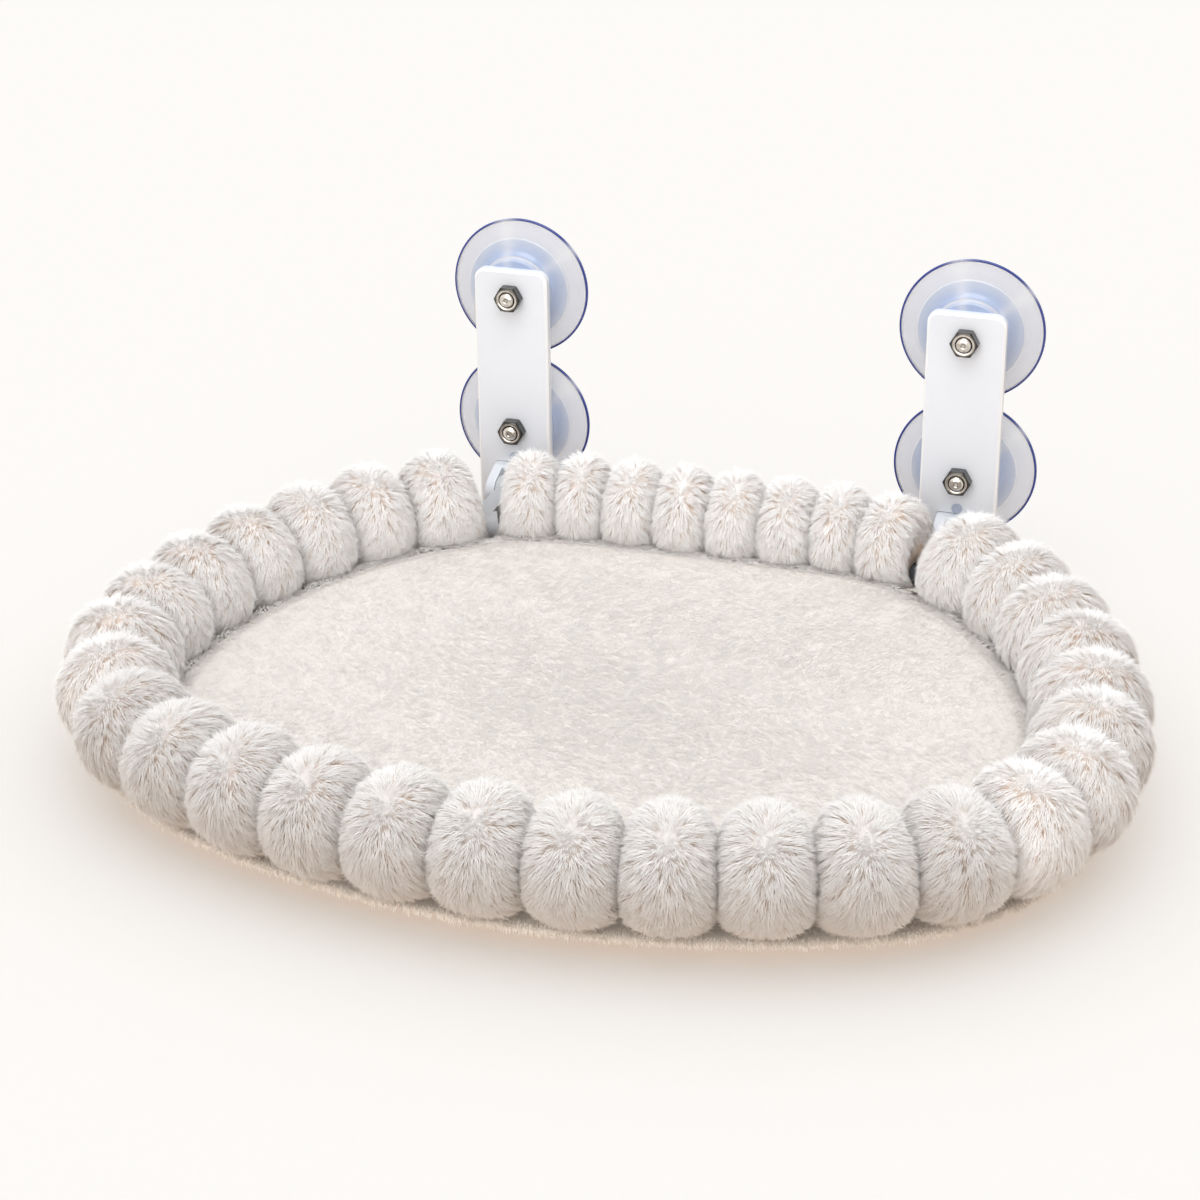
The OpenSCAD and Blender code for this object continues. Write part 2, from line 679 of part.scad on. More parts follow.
// Points of a closed loop round the ring's path, at a radius, height and distance along it
function loop_points(s, r, z) =
    let (q = ring_spot(s), side = inward(q[2]))
    [for (i = [0:lobe_sides - 1]) let (a = (i + 0.5) * 360 / lobe_sides)
        [q[0] - r * cos(a) * side[0], q[1] - r * cos(a) * side[1], z + r * sin(a)]];

// Two triangles for each side of a band between two loops of n points
function band(n, low, high) = [for (i = [0:n - 1]) let (j = (i + 1) % n)
    each [[low + i, low + j, high + j], [low + i, high + j, high + i]]];

// One stuffed lobe between two seams, with a channel round the frame tube
module lobe(from, to, r) {
    n = lobe_sides;
    rings = len(lobe_length_shares);
    outer = [for (k = [0:rings - 1]) let (swell = lobe_swell_shares[k])
        loop_points(from + (to - from) * lobe_length_shares[k], seam_r + (r - seam_r) * swell,
            seam_z + (lobe_z - seam_z) * swell)];
    inner = [for (share = [0, 0.5, 1]) loop_points(from + (to - from) * share, channel_r, tube_z)];
    first_inner = rings * n;
    polyhedron(
        points = [for (ring = concat(outer, inner)) each ring],
        faces = concat(
            [for (k = [0:rings - 2]) each band(n, (k + 1) * n, k * n)],
            [for (k = [0:1]) each band(n, first_inner + k * n, first_inner + (k + 1) * n)],
            band(n, 0, first_inner),
            band(n, first_inner + 2 * n, (rings - 1) * n)),
        convexity = 4);
}

// A run of lobes, first to last, from a start along the ring at a pitch
module lobe_run(start, pitch, first, last, r) {
    color([0.95, 0.93, 0.9]) for (i = [first:last])
        lobe(start + i * pitch + soft_gap / 2, start + (i + 1) * pitch - soft_gap / 2, r);
}

module front_run(first, last) lobe_run(front_begin, front_pitch, first, last, lobe_r);

// Outline of the seat, which follows the lobes at a distance inside the tube
function back_share(s) = max(0, min(1, (abs(s) - back_end) / (front_begin - back_end)));
seat_outline = [for (i = [0:seat_points - 1])
    let (s = 2 * half_ring * i / seat_points, near = min(s, 2 * half_ring - s), q = ring_spot(s),
        t = back_share(near), inset = lobe_inset(back_lobe_r) * (1 - t) + lobe_inset(lobe_r) * t)
    [q[0], q[1]] + inset * inward(q[2])];

// Sagging sheet with its outline at the edge and its lowest point in the middle
module sagging_sheet(outline, z, thick, shares) {
    n = len(outline);
    rings = len(shares);
    middle = [0, seat_middle_y];
    function sheet_point(p, share, z) =
        concat(middle + (p - middle) * share, [z - seat_sag * (1 - share * share)]);
    top = [for (share = shares) each [for (p = outline) sheet_point(p, share, z)]];
    bottom = [for (share = shares) each [for (p = outline) sheet_point(p, share, z - thick)]];
    inmost = (rings - 1) * n;
    last = rings * n;
    top_middle = 2 * last;
    polyhedron(
        points = concat(top, bottom, [sheet_point(middle, 0, z), sheet_point(middle, 0, z - thick)]),
        faces = concat(
            [for (k = [0:rings - 2]) each band(n, k * n, (k + 1) * n)],
            [for (i = [0:n - 1]) [top_middle, inmost + i, inmost + (i + 1) % n]],
            [for (k = [0:rings - 2]) each band(n, last + (k + 1) * n, last + k * n)],
            [for (i = [0:n - 1]) [top_middle + 1, last + inmost + (i + 1) % n, last + inmost + i]],
            band(n, last, 0)),
        convexity = 4);
}

module seat_cover() {
    color([0.93, 0.9, 0.87]) sagging_sheet(seat_outline, seat_z, seat_cover_t, seat_ring_shares);
}

module seat_wadding() {
    color([0.96, 0.96, 0.94]) sagging_sheet(seat_outline, wadding_z, wadding_t, wadding_ring_shares);
}

// Lower cover, drawn flat under the lobes
module under_cover() {
    outline = [for (i = [0:2 * seat_points - 1])
        let (q = ring_spot(half_ring * i / seat_points)) [q[0], q[1]] - under_out * inward(q[2])];
    color([0.87, 0.82, 0.76]) translate([0, 0, under_z - under_t]) linear_extrude(under_t) polygon(outline);
}

// Zip tape sewn under the rear edge, with its row of teeth as a bead
module cover_zip() {
    bead_w = zip_w / 6;
    top = under_z - under_t;
    color([0.9, 0.88, 0.85]) {
        translate([-zip_l / 2, zip_y - zip_w / 2, top - zip_t]) cube([zip_l, zip_w, zip_t]);
        translate([-zip_l / 2, zip_y - bead_w / 2, top - 1.5 * zip_t]) cube([zip_l, bead_w, zip_t]);
    }
}

// Zip slider with its pull tab, parked at one end
module zip_slider() {
    top = under_z - under_t - 1.5 * zip_t;
    color([0.7, 0.7, 0.7]) translate([-zip_l / 2 + slider_l, zip_y, top - slider_t]) {
        translate([-slider_l / 2, -slider_w / 2, 0]) cube([slider_l, slider_w, slider_t]);
        translate([slider_l / 4, 0, -slider_tab_t]) linear_extrude(slider_tab_t) difference() {
            round_rect([-slider_l / 4, -slider_w / 2], [1.5 * slider_l, slider_w / 2], slider_w / 3);
            translate([slider_l, 0]) circle(slider_w / 4);
        }
    }
}

suction_cup(-arm_x, cup_pitch);  // suction_cup_upper_left
suction_cup(arm_x, cup_pitch);  // suction_cup_upper_right
suction_cup(-arm_x, 0);  // suction_cup_lower_left
suction_cup(arm_x, 0);  // suction_cup_lower_right
cup_studs();
hex_nuts();
bracket_plate(-arm_x);  // bracket_plate_left
bracket_plate(arm_x);  // bracket_plate_right
hinge_clevis(-arm_x);  // hinge_clevis_left
hinge_clevis(arm_x);  // hinge_clevis_right
hinge_rivets();
hinge_pin(-arm_x);  // hinge_pin_left
hinge_pin(arm_x);  // hinge_pin_right
pin_clips();
mirror([1, 0, 0]) arm();  // arm_left
arm();  // arm_right
heel_pads();
rear_rail();
mirror([1, 0, 0]) hoop();  // hoop_left
hoop();  // hoop_right
hoop_sleeve();
spring_pins();
lobe_run(-back_end, back_pitch, 0, back_lobes - 1, back_lobe_r);  // bolster_back
front_run(front_lobes - rear_side_lobes, front_lobes - 1);  // bolster_rear_left
front_run(0, rear_side_lobes - 1);  // bolster_rear_right
front_run(front_lobes - rear_side_lobes - side_lobes, front_lobes - rear_side_lobes - 1);  // bolster_side_left
front_run(rear_side_lobes, rear_side_lobes + side_lobes - 1);  // bolster_side_right
front_run(rear_side_lobes + side_lobes, front_lobes - rear_side_lobes - side_lobes - 1);  // bolster_front
seat_cover();
seat_wadding();
under_cover();
cover_zip();
zip_slider();
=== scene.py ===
"""Window mounted cat perch: plush ring and seat on two suction cup brackets."""
import json
import math
import bmesh
import bpy
import numpy as np
from mathutils import Matrix, Vector

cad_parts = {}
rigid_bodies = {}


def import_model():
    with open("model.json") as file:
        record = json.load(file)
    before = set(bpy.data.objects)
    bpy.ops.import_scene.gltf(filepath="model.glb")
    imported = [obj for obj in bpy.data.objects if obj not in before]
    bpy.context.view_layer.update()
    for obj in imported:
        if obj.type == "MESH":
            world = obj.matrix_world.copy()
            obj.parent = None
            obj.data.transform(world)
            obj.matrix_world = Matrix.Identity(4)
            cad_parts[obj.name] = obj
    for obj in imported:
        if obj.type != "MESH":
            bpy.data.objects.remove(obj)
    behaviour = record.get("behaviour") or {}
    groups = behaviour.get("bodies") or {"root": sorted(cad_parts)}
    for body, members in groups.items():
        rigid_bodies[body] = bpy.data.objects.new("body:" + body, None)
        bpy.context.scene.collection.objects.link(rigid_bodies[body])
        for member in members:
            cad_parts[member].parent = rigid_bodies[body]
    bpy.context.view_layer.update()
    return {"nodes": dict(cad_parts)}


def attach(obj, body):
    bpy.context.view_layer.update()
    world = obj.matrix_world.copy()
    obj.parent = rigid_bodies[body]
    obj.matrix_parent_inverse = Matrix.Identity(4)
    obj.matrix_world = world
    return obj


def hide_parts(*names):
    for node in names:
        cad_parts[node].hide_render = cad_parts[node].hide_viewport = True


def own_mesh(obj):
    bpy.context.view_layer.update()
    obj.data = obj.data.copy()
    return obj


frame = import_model()

bl_info = {
    "name": "Window cat perch",
    "version": (1, 0, 0),
    "blender": (4, 5, 0),
    "location": "3D View > Sidebar > Perch",
    "description": "Builds a plush window perch round its packed frame",
    "category": "Add Mesh",
}

MM = 0.001
TURN = 2 * math.pi
PLUSH_MAP = "OFBake"
SIDES = ("left", "right")

# Ring of the frame, in millimetres, as the part's source draws it
ARM_X = 124
RAIL_HALF = 58
RAIL_OUT = 55
BENDS = ((148, 51), (250, 38), (122, 68))
TUBE_Z = -36
LOBE_Z = -21.5
SEAM_Z = -28
LOBE_R = 29
BACK_LOBE_R = 26
SEAM_R = 18
SOFT_GAP = 0.4
JOINT_HALF = 4.9
BACK_LOBES = 8
FRONT_LOBES = 27
SEAT_Z = -33.5
SEAT_SAG = 7
SEAT_COVER_T = 3.5
WADDING_Z = -37.6
WADDING_T = 4
UNDER_Z = -49.8
UNDER_T = 2.5
UNDER_OUT = 9
CUP_PITCH = 77.2
CUP_R = 38.4
CUP_H = 13
PLATE_FRONT = 18.5
NUT_AF = 13
NUT_H = 6.5
STUD_D = 8
STUD_PROUD = 0.8
ZIP_L = 190
ZIP_W = 26
ZIP_Y = -94


def inward(heading):
    return np.array([-np.sin(heading), -np.cos(heading)])


def lay_out_ring():
    """Centre, radius, heading and reach of each bend from the rear middle, and half the ring."""
    heading, reach, spot = 0.0, float(RAIL_HALF), np.array([RAIL_HALF, -RAIL_OUT], float)
    runs = []
    for radius, turn in BENDS:
        centre = spot + radius * inward(heading)
        runs.append((centre, radius, heading, reach))
        heading += math.radians(turn)
        reach += radius * math.radians(turn)
        spot = centre - radius * inward(heading)
    radius = spot[0] / math.sin(heading)
    runs.append((spot + radius * inward(heading), radius, heading, reach))
    return runs, reach + radius * (math.pi - heading)


RUNS, HALF_RING = lay_out_ring()
RING = 2 * HALF_RING
ARM_HEADING = math.asin((ARM_X - RAIL_HALF) / BENDS[0][0])
ARM_REACH = RAIL_HALF + BENDS[0][0] * ARM_HEADING
BACK_END = ARM_REACH - JOINT_HALF - SEAM_R * math.sin(ARM_HEADING)
BACK_PITCH = 2 * BACK_END / BACK_LOBES
FRONT_BEGIN = ARM_REACH + JOINT_HALF + SOFT_GAP
FRONT_PITCH = 2 * (HALF_RING - FRONT_BEGIN) / FRONT_LOBES


def ring_spots(reaches):
    """x, y and heading at each distance along the ring from the rear middle."""
    reaches = np.asarray(reaches, float)
    folded = np.abs(reaches)
    folded = np.where(folded > HALF_RING, RING - folded, folded)
    x, y, heading = folded.copy(), np.full_like(folded, -RAIL_OUT), np.zeros_like(folded)
    for centre, radius, begin, reach in RUNS:
        here = folded >= reach
        turned = begin + (folded - reach) / radius
        x = np.where(here, centre[0] + radius * np.sin(turned), x)
        y = np.where(here, centre[1] + radius * np.cos(turned), y)
        heading = np.where(here, turned, heading)
    left = (reaches < 0) | (reaches > HALF_RING)
    heading = np.where(left, np.where(reaches < 0, -heading, TURN - heading), heading)
    return np.where(left, -x, x), y, heading


def steps_round(whole, count):
    """Even steps round a closed loop."""
    return np.linspace(0, whole, count, endpoint=False)


def ring_loop(points, inset):
    """Points of a closed loop, inside the tube's centre line by one or more distances."""
    x, y, heading = ring_spots(steps_round(RING, points))
    return np.stack([x, y], -1) + np.reshape(inset, (-1, 1)) * inward(heading).T


def srgb(*shares):
    """Linear colour of three sRGB shares."""
    return tuple(c / 12.92 if c <= 0.04045 else ((c + 0.055) / 1.055) ** 2.4 for c in shares)


def length(label, about, size, low, high):
    """A length, in millimetres, that a user may change."""
    return bpy.props.FloatProperty(name=label, description=about, default=size * MM,
                                   min=low * MM, max=high * MM, unit="LENGTH")


def tint(label, of, *shares):
    """A colour, in sRGB shares, that a user may change."""
    return bpy.props.FloatVectorProperty(name=label, description="Colour of " + of,
                                         subtype="COLOR", default=srgb(*shares), min=0, max=1)


class PerchSizes(bpy.types.PropertyGroup):
    """Sizes that a user may change."""

    pile: length("Ring pile", "Length of the plush on the ring", 8, 4, 16)
    pile_spacing: length("Ring tuft spacing", "Least distance of two tufts on the ring", 1.28, 1, 4)
    seat_pile: length("Seat pile", "Length of the plush on the seat", 4.5, 2, 10)
    seat_spacing: length("Seat tuft spacing", "Least distance of two tufts on the seat", 1.45, 1, 5)
    floor_drop: length("Floor drop", "Depth of the floor below the lower cups", 62, 60, 2000)


class PerchColours(bpy.types.PropertyGroup):
    """Colours that a user may change."""

    pile_tip: tint("Pile tips", "the ring's plush at its tips", 0.974, 0.970, 0.966)
    pile_root: tint("Pile roots", "the ring's plush at its roots", 0.95, 0.88, 0.82)
    seat_tip: tint("Seat tips", "the seat's plush at its tips", 0.963, 0.949, 0.936)
    seat_root: tint("Seat roots", "the seat's plush at its roots", 0.95, 0.925, 0.90)
    plate: tint("Plates", "the bracket plates", 0.903, 0.915, 0.938)
    clevis: tint("Clevises", "the hinge clevises", 0.87, 0.885, 0.91)
    arm: tint("Arms", "the arms", 0.74, 0.75, 0.765)
    cup: tint("Cup cones", "the suction cups' cones", 0.785, 0.835, 0.93)
    under: tint("Lower cover", "the lower cover", 0.945, 0.91, 0.865)
    metal: tint("Nuts and studs", "the nuts and studs", 0.90, 0.875, 0.84)


class Wire:
    """A node's output socket that arithmetic can be written with."""

    def __init__(self, tree, socket):
        self.tree = tree
        self.socket = socket

    def other(self, name):
        """Another output of the same node."""
        outputs = self.socket.node.outputs
        return Wire(self.tree, next(s for s in outputs if s.enabled and s.name == name))

    def maths(self, operation, *operands):
        return place(self.tree, "ShaderNodeMath", dict(enumerate(operands)), operation=operation)

    def __add__(self, other):
        return self.maths("ADD", self, other)

    def __sub__(self, other):
        return self.maths("SUBTRACT", self, other)

    def __rsub__(self, other):
        return self.maths("SUBTRACT", other, self)

    def __mul__(self, other):
        return self.maths("MULTIPLY", self, other)

    def __pow__(self, other):
        return self.maths("POWER", self, other)

    __radd__ = __add__
    __rmul__ = __mul__

    def sine(self):
        return self.maths("SINE", self)

    def cosine(self):
        return self.maths("COSINE", self)

    def clamped(self):
        return place(self.tree, "ShaderNodeClamp", {"Value": self})

    def ramp(self, low, high):
        """0 below low, 1 above high, and smooth between them."""
        return place(self.tree, "ShaderNodeMapRange",
                     {"Value": self, "From Min": low, "From Max": high},
                     interpolation_type="SMOOTHSTEP")


def place(tree, kind, values=None, out=None, **settings):
    """Adds a node, its settings first, and gives the wire of its first or named output."""
    node = tree.nodes.new(kind)
    for key, value in settings.items():
        setattr(node, key, value)
    inputs = [s for s in node.inputs if s.enabled]
    for key, value in (values or {}).items():
        socket = inputs[key] if isinstance(key, int) else next(s for s in inputs if s.name == key)
        if isinstance(value, Wire):
            tree.links.new(value.socket, socket)
        else:
            socket.default_value = value
    outputs = [s for s in node.outputs if s.enabled]
    if not outputs:
        return None
    return Wire(tree, outputs[0] if out is None else next(s for s in outputs if s.name == out))


def vector(tree, operation, *operands):
    return place(tree, "ShaderNodeVectorMath", dict(enumerate(operands)), operation=operation)


def scaled(tree, wire, factor):
    return place(tree, "ShaderNodeVectorMath", {0: wire, "Scale": factor}, operation="SCALE")


def rgba(colour):
    return colour if isinstance(colour, Wire) else (*colour, 1)


def blend_colours(tree, share, low, high):
    return place(tree, "ShaderNodeMix", {"Factor": share, "A": rgba(low), "B": rgba(high)},
                 data_type="RGBA")


def shaded(tree, colour, share):
    """The colour times a grey share."""
    grey = place(tree, "ShaderNodeCombineColor", {0: share, 1: share, 2: share})
    return place(tree, "ShaderNodeMix", {"Factor": 1.0, "A": rgba(colour), "B": grey},
                 data_type="RGBA", blend_type="MULTIPLY")


def stepped(tree, share, stops):
    """The colour of a share between stops of a position and a colour."""
    wire = place(tree, "ShaderNodeValToRGB", {"Fac": share})
    elements = wire.socket.node.color_ramp.elements
    while len(elements) < len(stops):
        elements.new(0.5)
    for element, (position, colour) in zip(elements, stops):
        element.position = position
        element.color = (*colour, 1)
    return wire


def start_finish(name):
    """A material and its empty tree."""
    finish = bpy.data.materials.new(name)
    finish.use_nodes = True
    tree = finish.node_tree
    tree.nodes.clear()
    return finish, tree


def close_finish(tree, values, bump=None, height=0.0):
    """Ends a material in one Principled shader, with a bump whose height is in millimetres."""
    if bump is not None:
        values["Normal"] = place(tree, "ShaderNodeBump", {
            "Strength": 1.0, "Distance": height * MM, "Height": bump})
    shader = place(tree, "ShaderNodeBsdfPrincipled", values)
    place(tree, "ShaderNodeOutputMaterial", {"Surface": shader})


def painted(tree, name):
    """A value that the mesh's points or faces store."""
    return place(tree, "ShaderNodeAttribute", out="Fac", attribute_name=name)


def object_place(tree):
    return place(tree, "ShaderNodeTexCoord", out="Object")


def noise(tree, scale, detail=3.0, roughness=0.5):
    """Noise that stays with the object, its scale in cycles per metre."""
    return place(tree, "ShaderNodeTexNoise", {
        "Vector": object_place(tree), "Scale": scale, "Detail": detail, "Roughness": roughness})


def moulded(name, colour, roughness, grain=900.0, shift=0.05, coat=0.0):
    """Moulded plastic with spark grain, faint mottling, rubbed patches and pale edges, a painted
    highlight.
    """
    finish, tree = start_finish(name)
    painted_edge_highlight, mottle_scale, rubbed_scale = (0.96, 0.965, 0.97), 35.0, 160.0
    mottle = noise(tree, mottle_scale, 4.0)
    rubbed = noise(tree, rubbed_scale, 5.0, 0.6)
    spark = noise(tree, grain, 2.0)
    # Painted highlight: faces that store the edge share are paled towards near white
    edge_highlit = blend_colours(tree, 0.8 * painted(tree, "edge"), colour, painted_edge_highlight)
    close_finish(tree, {
        "Base Color": shaded(tree, edge_highlit, 1 - shift * mottle.ramp(0.35, 0.75)),
        "Roughness": roughness + 0.16 * (rubbed - 0.5) + 0.08 * (spark - 0.5),
        "Coat Weight": coat,
        "Coat Roughness": 0.15,
    }, spark, 0.03)
    return finish


def metal(name, colour, roughness):
    """Plated steel with fine turning marks, a faint stain, and stored painted dark reflections and
    painted shade.
    """
    finish, tree = start_finish(name)
    stain_scale, mark_scale = 220.0, 2600.0
    stain = noise(tree, stain_scale, 4.0)
    marks = noise(tree, mark_scale, 3.0, 0.7)
    # A faint stain, times the stored painted darkness: painted dark reflections and painted shade
    light = (1 - 0.22 * stain.ramp(0.45, 0.75)) * (1 - 0.96 * painted(tree, "flank"))
    close_finish(tree, {
        "Base Color": shaded(tree, colour, light),
        "Metallic": 1.0,
        "Roughness": roughness + 0.12 * (marks - 0.5) + 0.1 * (stain - 0.5),
    }, marks, 0.012)
    return finish


def rubber(name, colour):
    finish, tree = start_finish(name)
    grain_scale = 1500.0
    grain = noise(tree, grain_scale)
    close_finish(tree, {
        "Base Color": shaded(tree, colour, 0.85 + 0.3 * grain),
        "Roughness": 0.6 + 0.2 * (grain - 0.5),
    }, grain, 0.04)
    return finish


def clear_vinyl(name, hub, cone, flange, edge):
    """Clear bluish vinyl, deeper at the hub, with a painted dark blue refraction line at the lip,
    painted highlights as pale rings at each step, and painted reflections as light wedges.
    """
    finish, tree = start_finish(name)
    reach, haze_scale = painted(tree, "reach"), 60.0
    # step is a painted highlight, pale rings at the steps; edge is a painted dark blue refraction
    # line at the lip
    step, painted_reflection_colour = (0.93, 0.94, 0.98), (0.93, 0.95, 1.0)
    colour = stepped(tree, reach, (
        (0.0, hub), (0.47, hub), (0.505, step), (0.53, hub), (0.725, cone), (0.738, step),
        (0.75, flange), (0.945, flange), (0.957, step), (0.963, step), (0.972, edge), (1.0, edge)))
    # Painted reflection: light wedges blended into the vinyl's colour
    colour = blend_colours(tree, 0.5 * painted(tree, "gleam"), colour, painted_reflection_colour)
    haze = noise(tree, haze_scale)
    opaque = stepped(tree, reach, [(position, (share,) * 3) for position, share in (
        (0.0, 0.85), (0.53, 0.8), (0.725, 0.55), (0.74, 0.5), (0.75, 0.42),
        (0.94, 0.38), (0.96, 0.5), (0.972, 1.0), (1.0, 1.0))])
    close_finish(tree, {
        "Base Color": shaded(tree, colour, 1 - 0.04 * haze),
        "Roughness": 0.09 + 0.08 * haze,
        "Alpha": place(tree, "ShaderNodeSeparateColor", {0: opaque}, out="Red"),
        "IOR": 1.46,
        "Coat Weight": 0.6,
        "Coat Roughness": 0.05,
    }, haze, 0.05)
    return finish


def plush(name, root, tip, spread):
    """Pile whose map runs from root to tip one way and from dull to bright tufts the other."""
    finish, tree = start_finish(name)
    strand = place(tree, "ShaderNodeUVMap", uv_map=PLUSH_MAP)
    tone = place(tree, "ShaderNodeSeparateXYZ", {0: strand})
    colour = blend_colours(tree, tone.other("Y").ramp(0.0, 0.85), root, tip)
    close_finish(tree, {
        "Base Color": shaded(tree, colour, 1 - spread + spread * tone),
        "Roughness": 0.62,
        "Specular IOR Level": 0.25,
        "Sheen Weight": 0.25,
        "Sheen Roughness": 0.5,
    })
    return finish


def backing(name, colour, scale, depth, crown=None):
    """Short dense pile or felt with clumped bumps, of another colour at the lobes' crowns."""
    finish, tree = start_finish(name)
    if crown:
        colour = blend_colours(tree, painted(tree, "pale"), colour, crown)
    clumps = noise(tree, scale, 5.0, 0.65)
    drift = noise(tree, scale / 14)
    close_finish(tree, {
        "Base Color": shaded(tree, colour, 0.86 + 0.2 * clumps + 0.08 * (drift - 0.5)),
        "Roughness": 0.85 + 0.1 * (clumps - 0.5),
        "Specular IOR Level": 0.2,
        "Sheen Weight": 0.3,
    }, clumps + 0.5 * drift, depth)
    return finish


def woven(name, colour, threads=1100.0):
    """Plain weave of threads along X and Y."""
    finish, tree = start_finish(name)
    parts = place(tree, "ShaderNodeSeparateXYZ", {0: object_place(tree)})
    weave = (threads * parts).sine() * (threads * parts.other("Y")).sine()
    wear_scale = 60.0
    wear = noise(tree, wear_scale, 4.0)
    close_finish(tree, {
        "Base Color": shaded(tree, colour, 0.9 + 0.08 * weave + 0.08 * (wear - 0.5)),
        "Roughness": 0.8 + 0.08 * weave,
        "Specular IOR Level": 0.25,
    }, weave, 0.12)
    return finish


def linked(name, data):
    """A new object in the scene."""
    obj = bpy.data.objects.new(name, data)
    bpy.context.scene.collection.objects.link(obj)
    return obj


def mesh_piece(name, points, faces, edges=()):
    """An object at the origin whose smooth mesh has these points, in millimetres."""
    mesh = bpy.data.meshes.new(name)
    points = (np.asarray(points, float) * MM).tolist()
    mesh.from_pydata(points, list(edges), [list(map(int, f)) for f in faces])
    mesh.polygons.foreach_set("use_smooth", [True] * len(mesh.polygons))
    mesh.update()
    return linked(name, mesh)


def take_away(*objs):
    for obj in objs:
        bpy.data.objects.remove(obj)


def quads(rows, sides, ring=False, loop=True):
    """Faces between rows of points, the rows or the sides closed to a ring or a loop."""
    row, side = np.meshgrid(range(rows - (not ring)), range(sides - (not loop)), indexing="ij")
    low, high, after = row * sides, (row + 1) % rows * sides, (side + 1) % sides
    corners = [low + side, low + after, high + after, high + side]
    return np.stack(corners, -1).reshape(-1, 4).tolist()


def fan(tip, first, sides, flip=False):
    """Triangles from a tip to a loop of points."""
    loop = [(first + i, first + (i + 1) % sides) for i in range(sides)]
    return [[tip, a, b] if flip else [tip, b, a] for a, b in loop]


def facing_out(points, faces):
    """A closed shell's faces, turned round where they enclose a negative volume."""
    points = np.asarray(points, float)
    corners = np.array([(f[0], f[k], f[k + 1]) for f in faces for k in range(1, len(f) - 1)])
    a, b, c = (points[corners[:, k]] for k in range(3))
    inside_out = np.sum(a * np.cross(b, c)) < 0
    return [face[::-1] for face in faces] if inside_out else faces


def joined(shells):
    """Points and faces of several closed shells as one, each facing outwards."""
    points, faces, base = [], [], 0
    for own_points, own_faces in shells:
        faces += [[base + i for i in face] for face in facing_out(own_points, own_faces)]
        points.append(own_points)
        base += len(own_points)
    return np.concatenate(points), faces


def store_values(obj, name, values, kind="FLOAT", field="value"):
    attribute = obj.data.attributes.new(name, kind, "POINT")
    attribute.data.foreach_set(field, np.asarray(values, np.float32).ravel())


def set_down(obj, body, finish, slot, *nodes):
    """Gives a finished piece its material, its body and the CAD nodes that it stands for."""
    obj.data.materials.clear()
    obj.data.materials.append(finish)
    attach(obj, body)
    if nodes:
        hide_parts(*nodes)
    return obj


def made_plain(obj):
    """Turns an object's modifiers into a plain mesh."""
    bpy.context.view_layer.update()
    graph = bpy.context.evaluated_depsgraph_get()
    mesh = bpy.data.meshes.new_from_object(
        obj.evaluated_get(graph), preserve_all_data_layers=True, depsgraph=graph)
    obj.modifiers.clear()
    obj.data = mesh
    return obj


SAME_SPOT = 3e-6
FLAT_ANGLE = math.radians(0.8)
SHARP_ANGLE = math.radians(28)


def rounded(node, width, segments=2):
    """A copy of a CAD node with merged points and small rounds along its sharp edges."""
    form = bmesh.new()
    form.from_mesh(frame["nodes"][node].data)
    bmesh.ops.remove_doubles(form, verts=form.verts, dist=SAME_SPOT)
    bmesh.ops.dissolve_limit(form, angle_limit=FLAT_ANGLE, verts=form.verts, edges=form.edges)
    for face in form.faces:
        face.smooth = True
    for edge in form.edges:
        edge.smooth = edge.calc_face_angle(0) < SHARP_ANGLE
    mesh = bpy.data.meshes.new(node + "_finished")
    form.to_mesh(mesh)
    form.free()
    obj = linked(mesh.name, mesh)
    if width:
        bevel = obj.modifiers.new("Round", "BEVEL")
        bevel.width = width * MM
        bevel.segments = segments
        bevel.limit_method = "ANGLE"
        bevel.angle_limit = SHARP_ANGLE
        bevel.use_clamp_overlap = True
    weighted = obj.modifiers.new("Shade", "WEIGHTED_NORMAL")
    weighted.keep_sharp = not width
    weighted.weight = 80
    return made_plain(obj)


def refine(node, width, body, finish, slot, segments=2):
    """Puts a rounded copy with a finer material in a CAD node's place."""
    return set_down(rounded(node, width, segments), body, finish, slot, node)


def lathe(name, centre, profile, sides=96):
    """A closed turned piece about an axis away from the window, and its rim's radii and turns."""
    profile = np.asarray(profile, float)
    turn = steps_round(TURN, sides)
    rim = profile[1:-1]
    points = np.stack([
        centre[0] + rim[:, :1] * np.cos(turn),
        np.repeat(-rim[:, 1:], sides, 1),
        centre[1] + rim[:, :1] * np.sin(turn)], -1).reshape(-1, 3)
    ends = [[centre[0], -profile[end, 1], centre[1]] for end in (0, -1)]
    last = (len(rim) - 1) * sides
    faces = quads(len(rim), sides) + fan(last + sides, 0, sides)
    faces += fan(last + sides + 1, last, sides, flip=True)
    obj = mesh_piece(name, np.concatenate([points, ends]), faces)
    return obj, np.repeat(rim[:, 0], sides), np.tile(turn, len(rim))


def arc(low, pull, high, steps):
    """Points of a curve from low to high, drawn towards pull."""
    t = np.linspace(0, 1, steps + 1)[:, None]
    low, pull, high = (np.array(p, float) for p in (low, pull, high))
    return ((1 - t) ** 2 * low + 2 * t * (1 - t) * pull + t ** 2 * high).tolist()


def cup_profile():
    """Section of a cup: hollow, land, bead at the lip, flange, step, cone, ring and hub."""
    return (
        [[0, 3.4]]
        + arc([18, 3.4], [28, 2.3], [36.6, 0], 8)
        + [[CUP_R - 0.3, 0]]
        + arc([CUP_R, 0.3], [CUP_R, 1.25], [CUP_R - 0.7, 1.35], 4)
        + arc([CUP_R - 1.1, 1.2], [33, 3.2], [29.4, 3.9], 6)
        + arc([28.9, 4.1], [28.5, 4.2], [28.3, 4.9], 3)
        + arc([27.9, 5.15], [24.5, 5.9], [22.0, 7.6], 6)
        + arc([21.2, 8.5], [20.9, 9.3], [20.2, 9.6], 3)
        + arc([19.2, 9.8], [18.5, 10.0], [18.5, 10.8], 3)
        + arc([18.5, 12.2], [18.5, CUP_H], [17.4, CUP_H], 4)
        + [[0, CUP_H]])


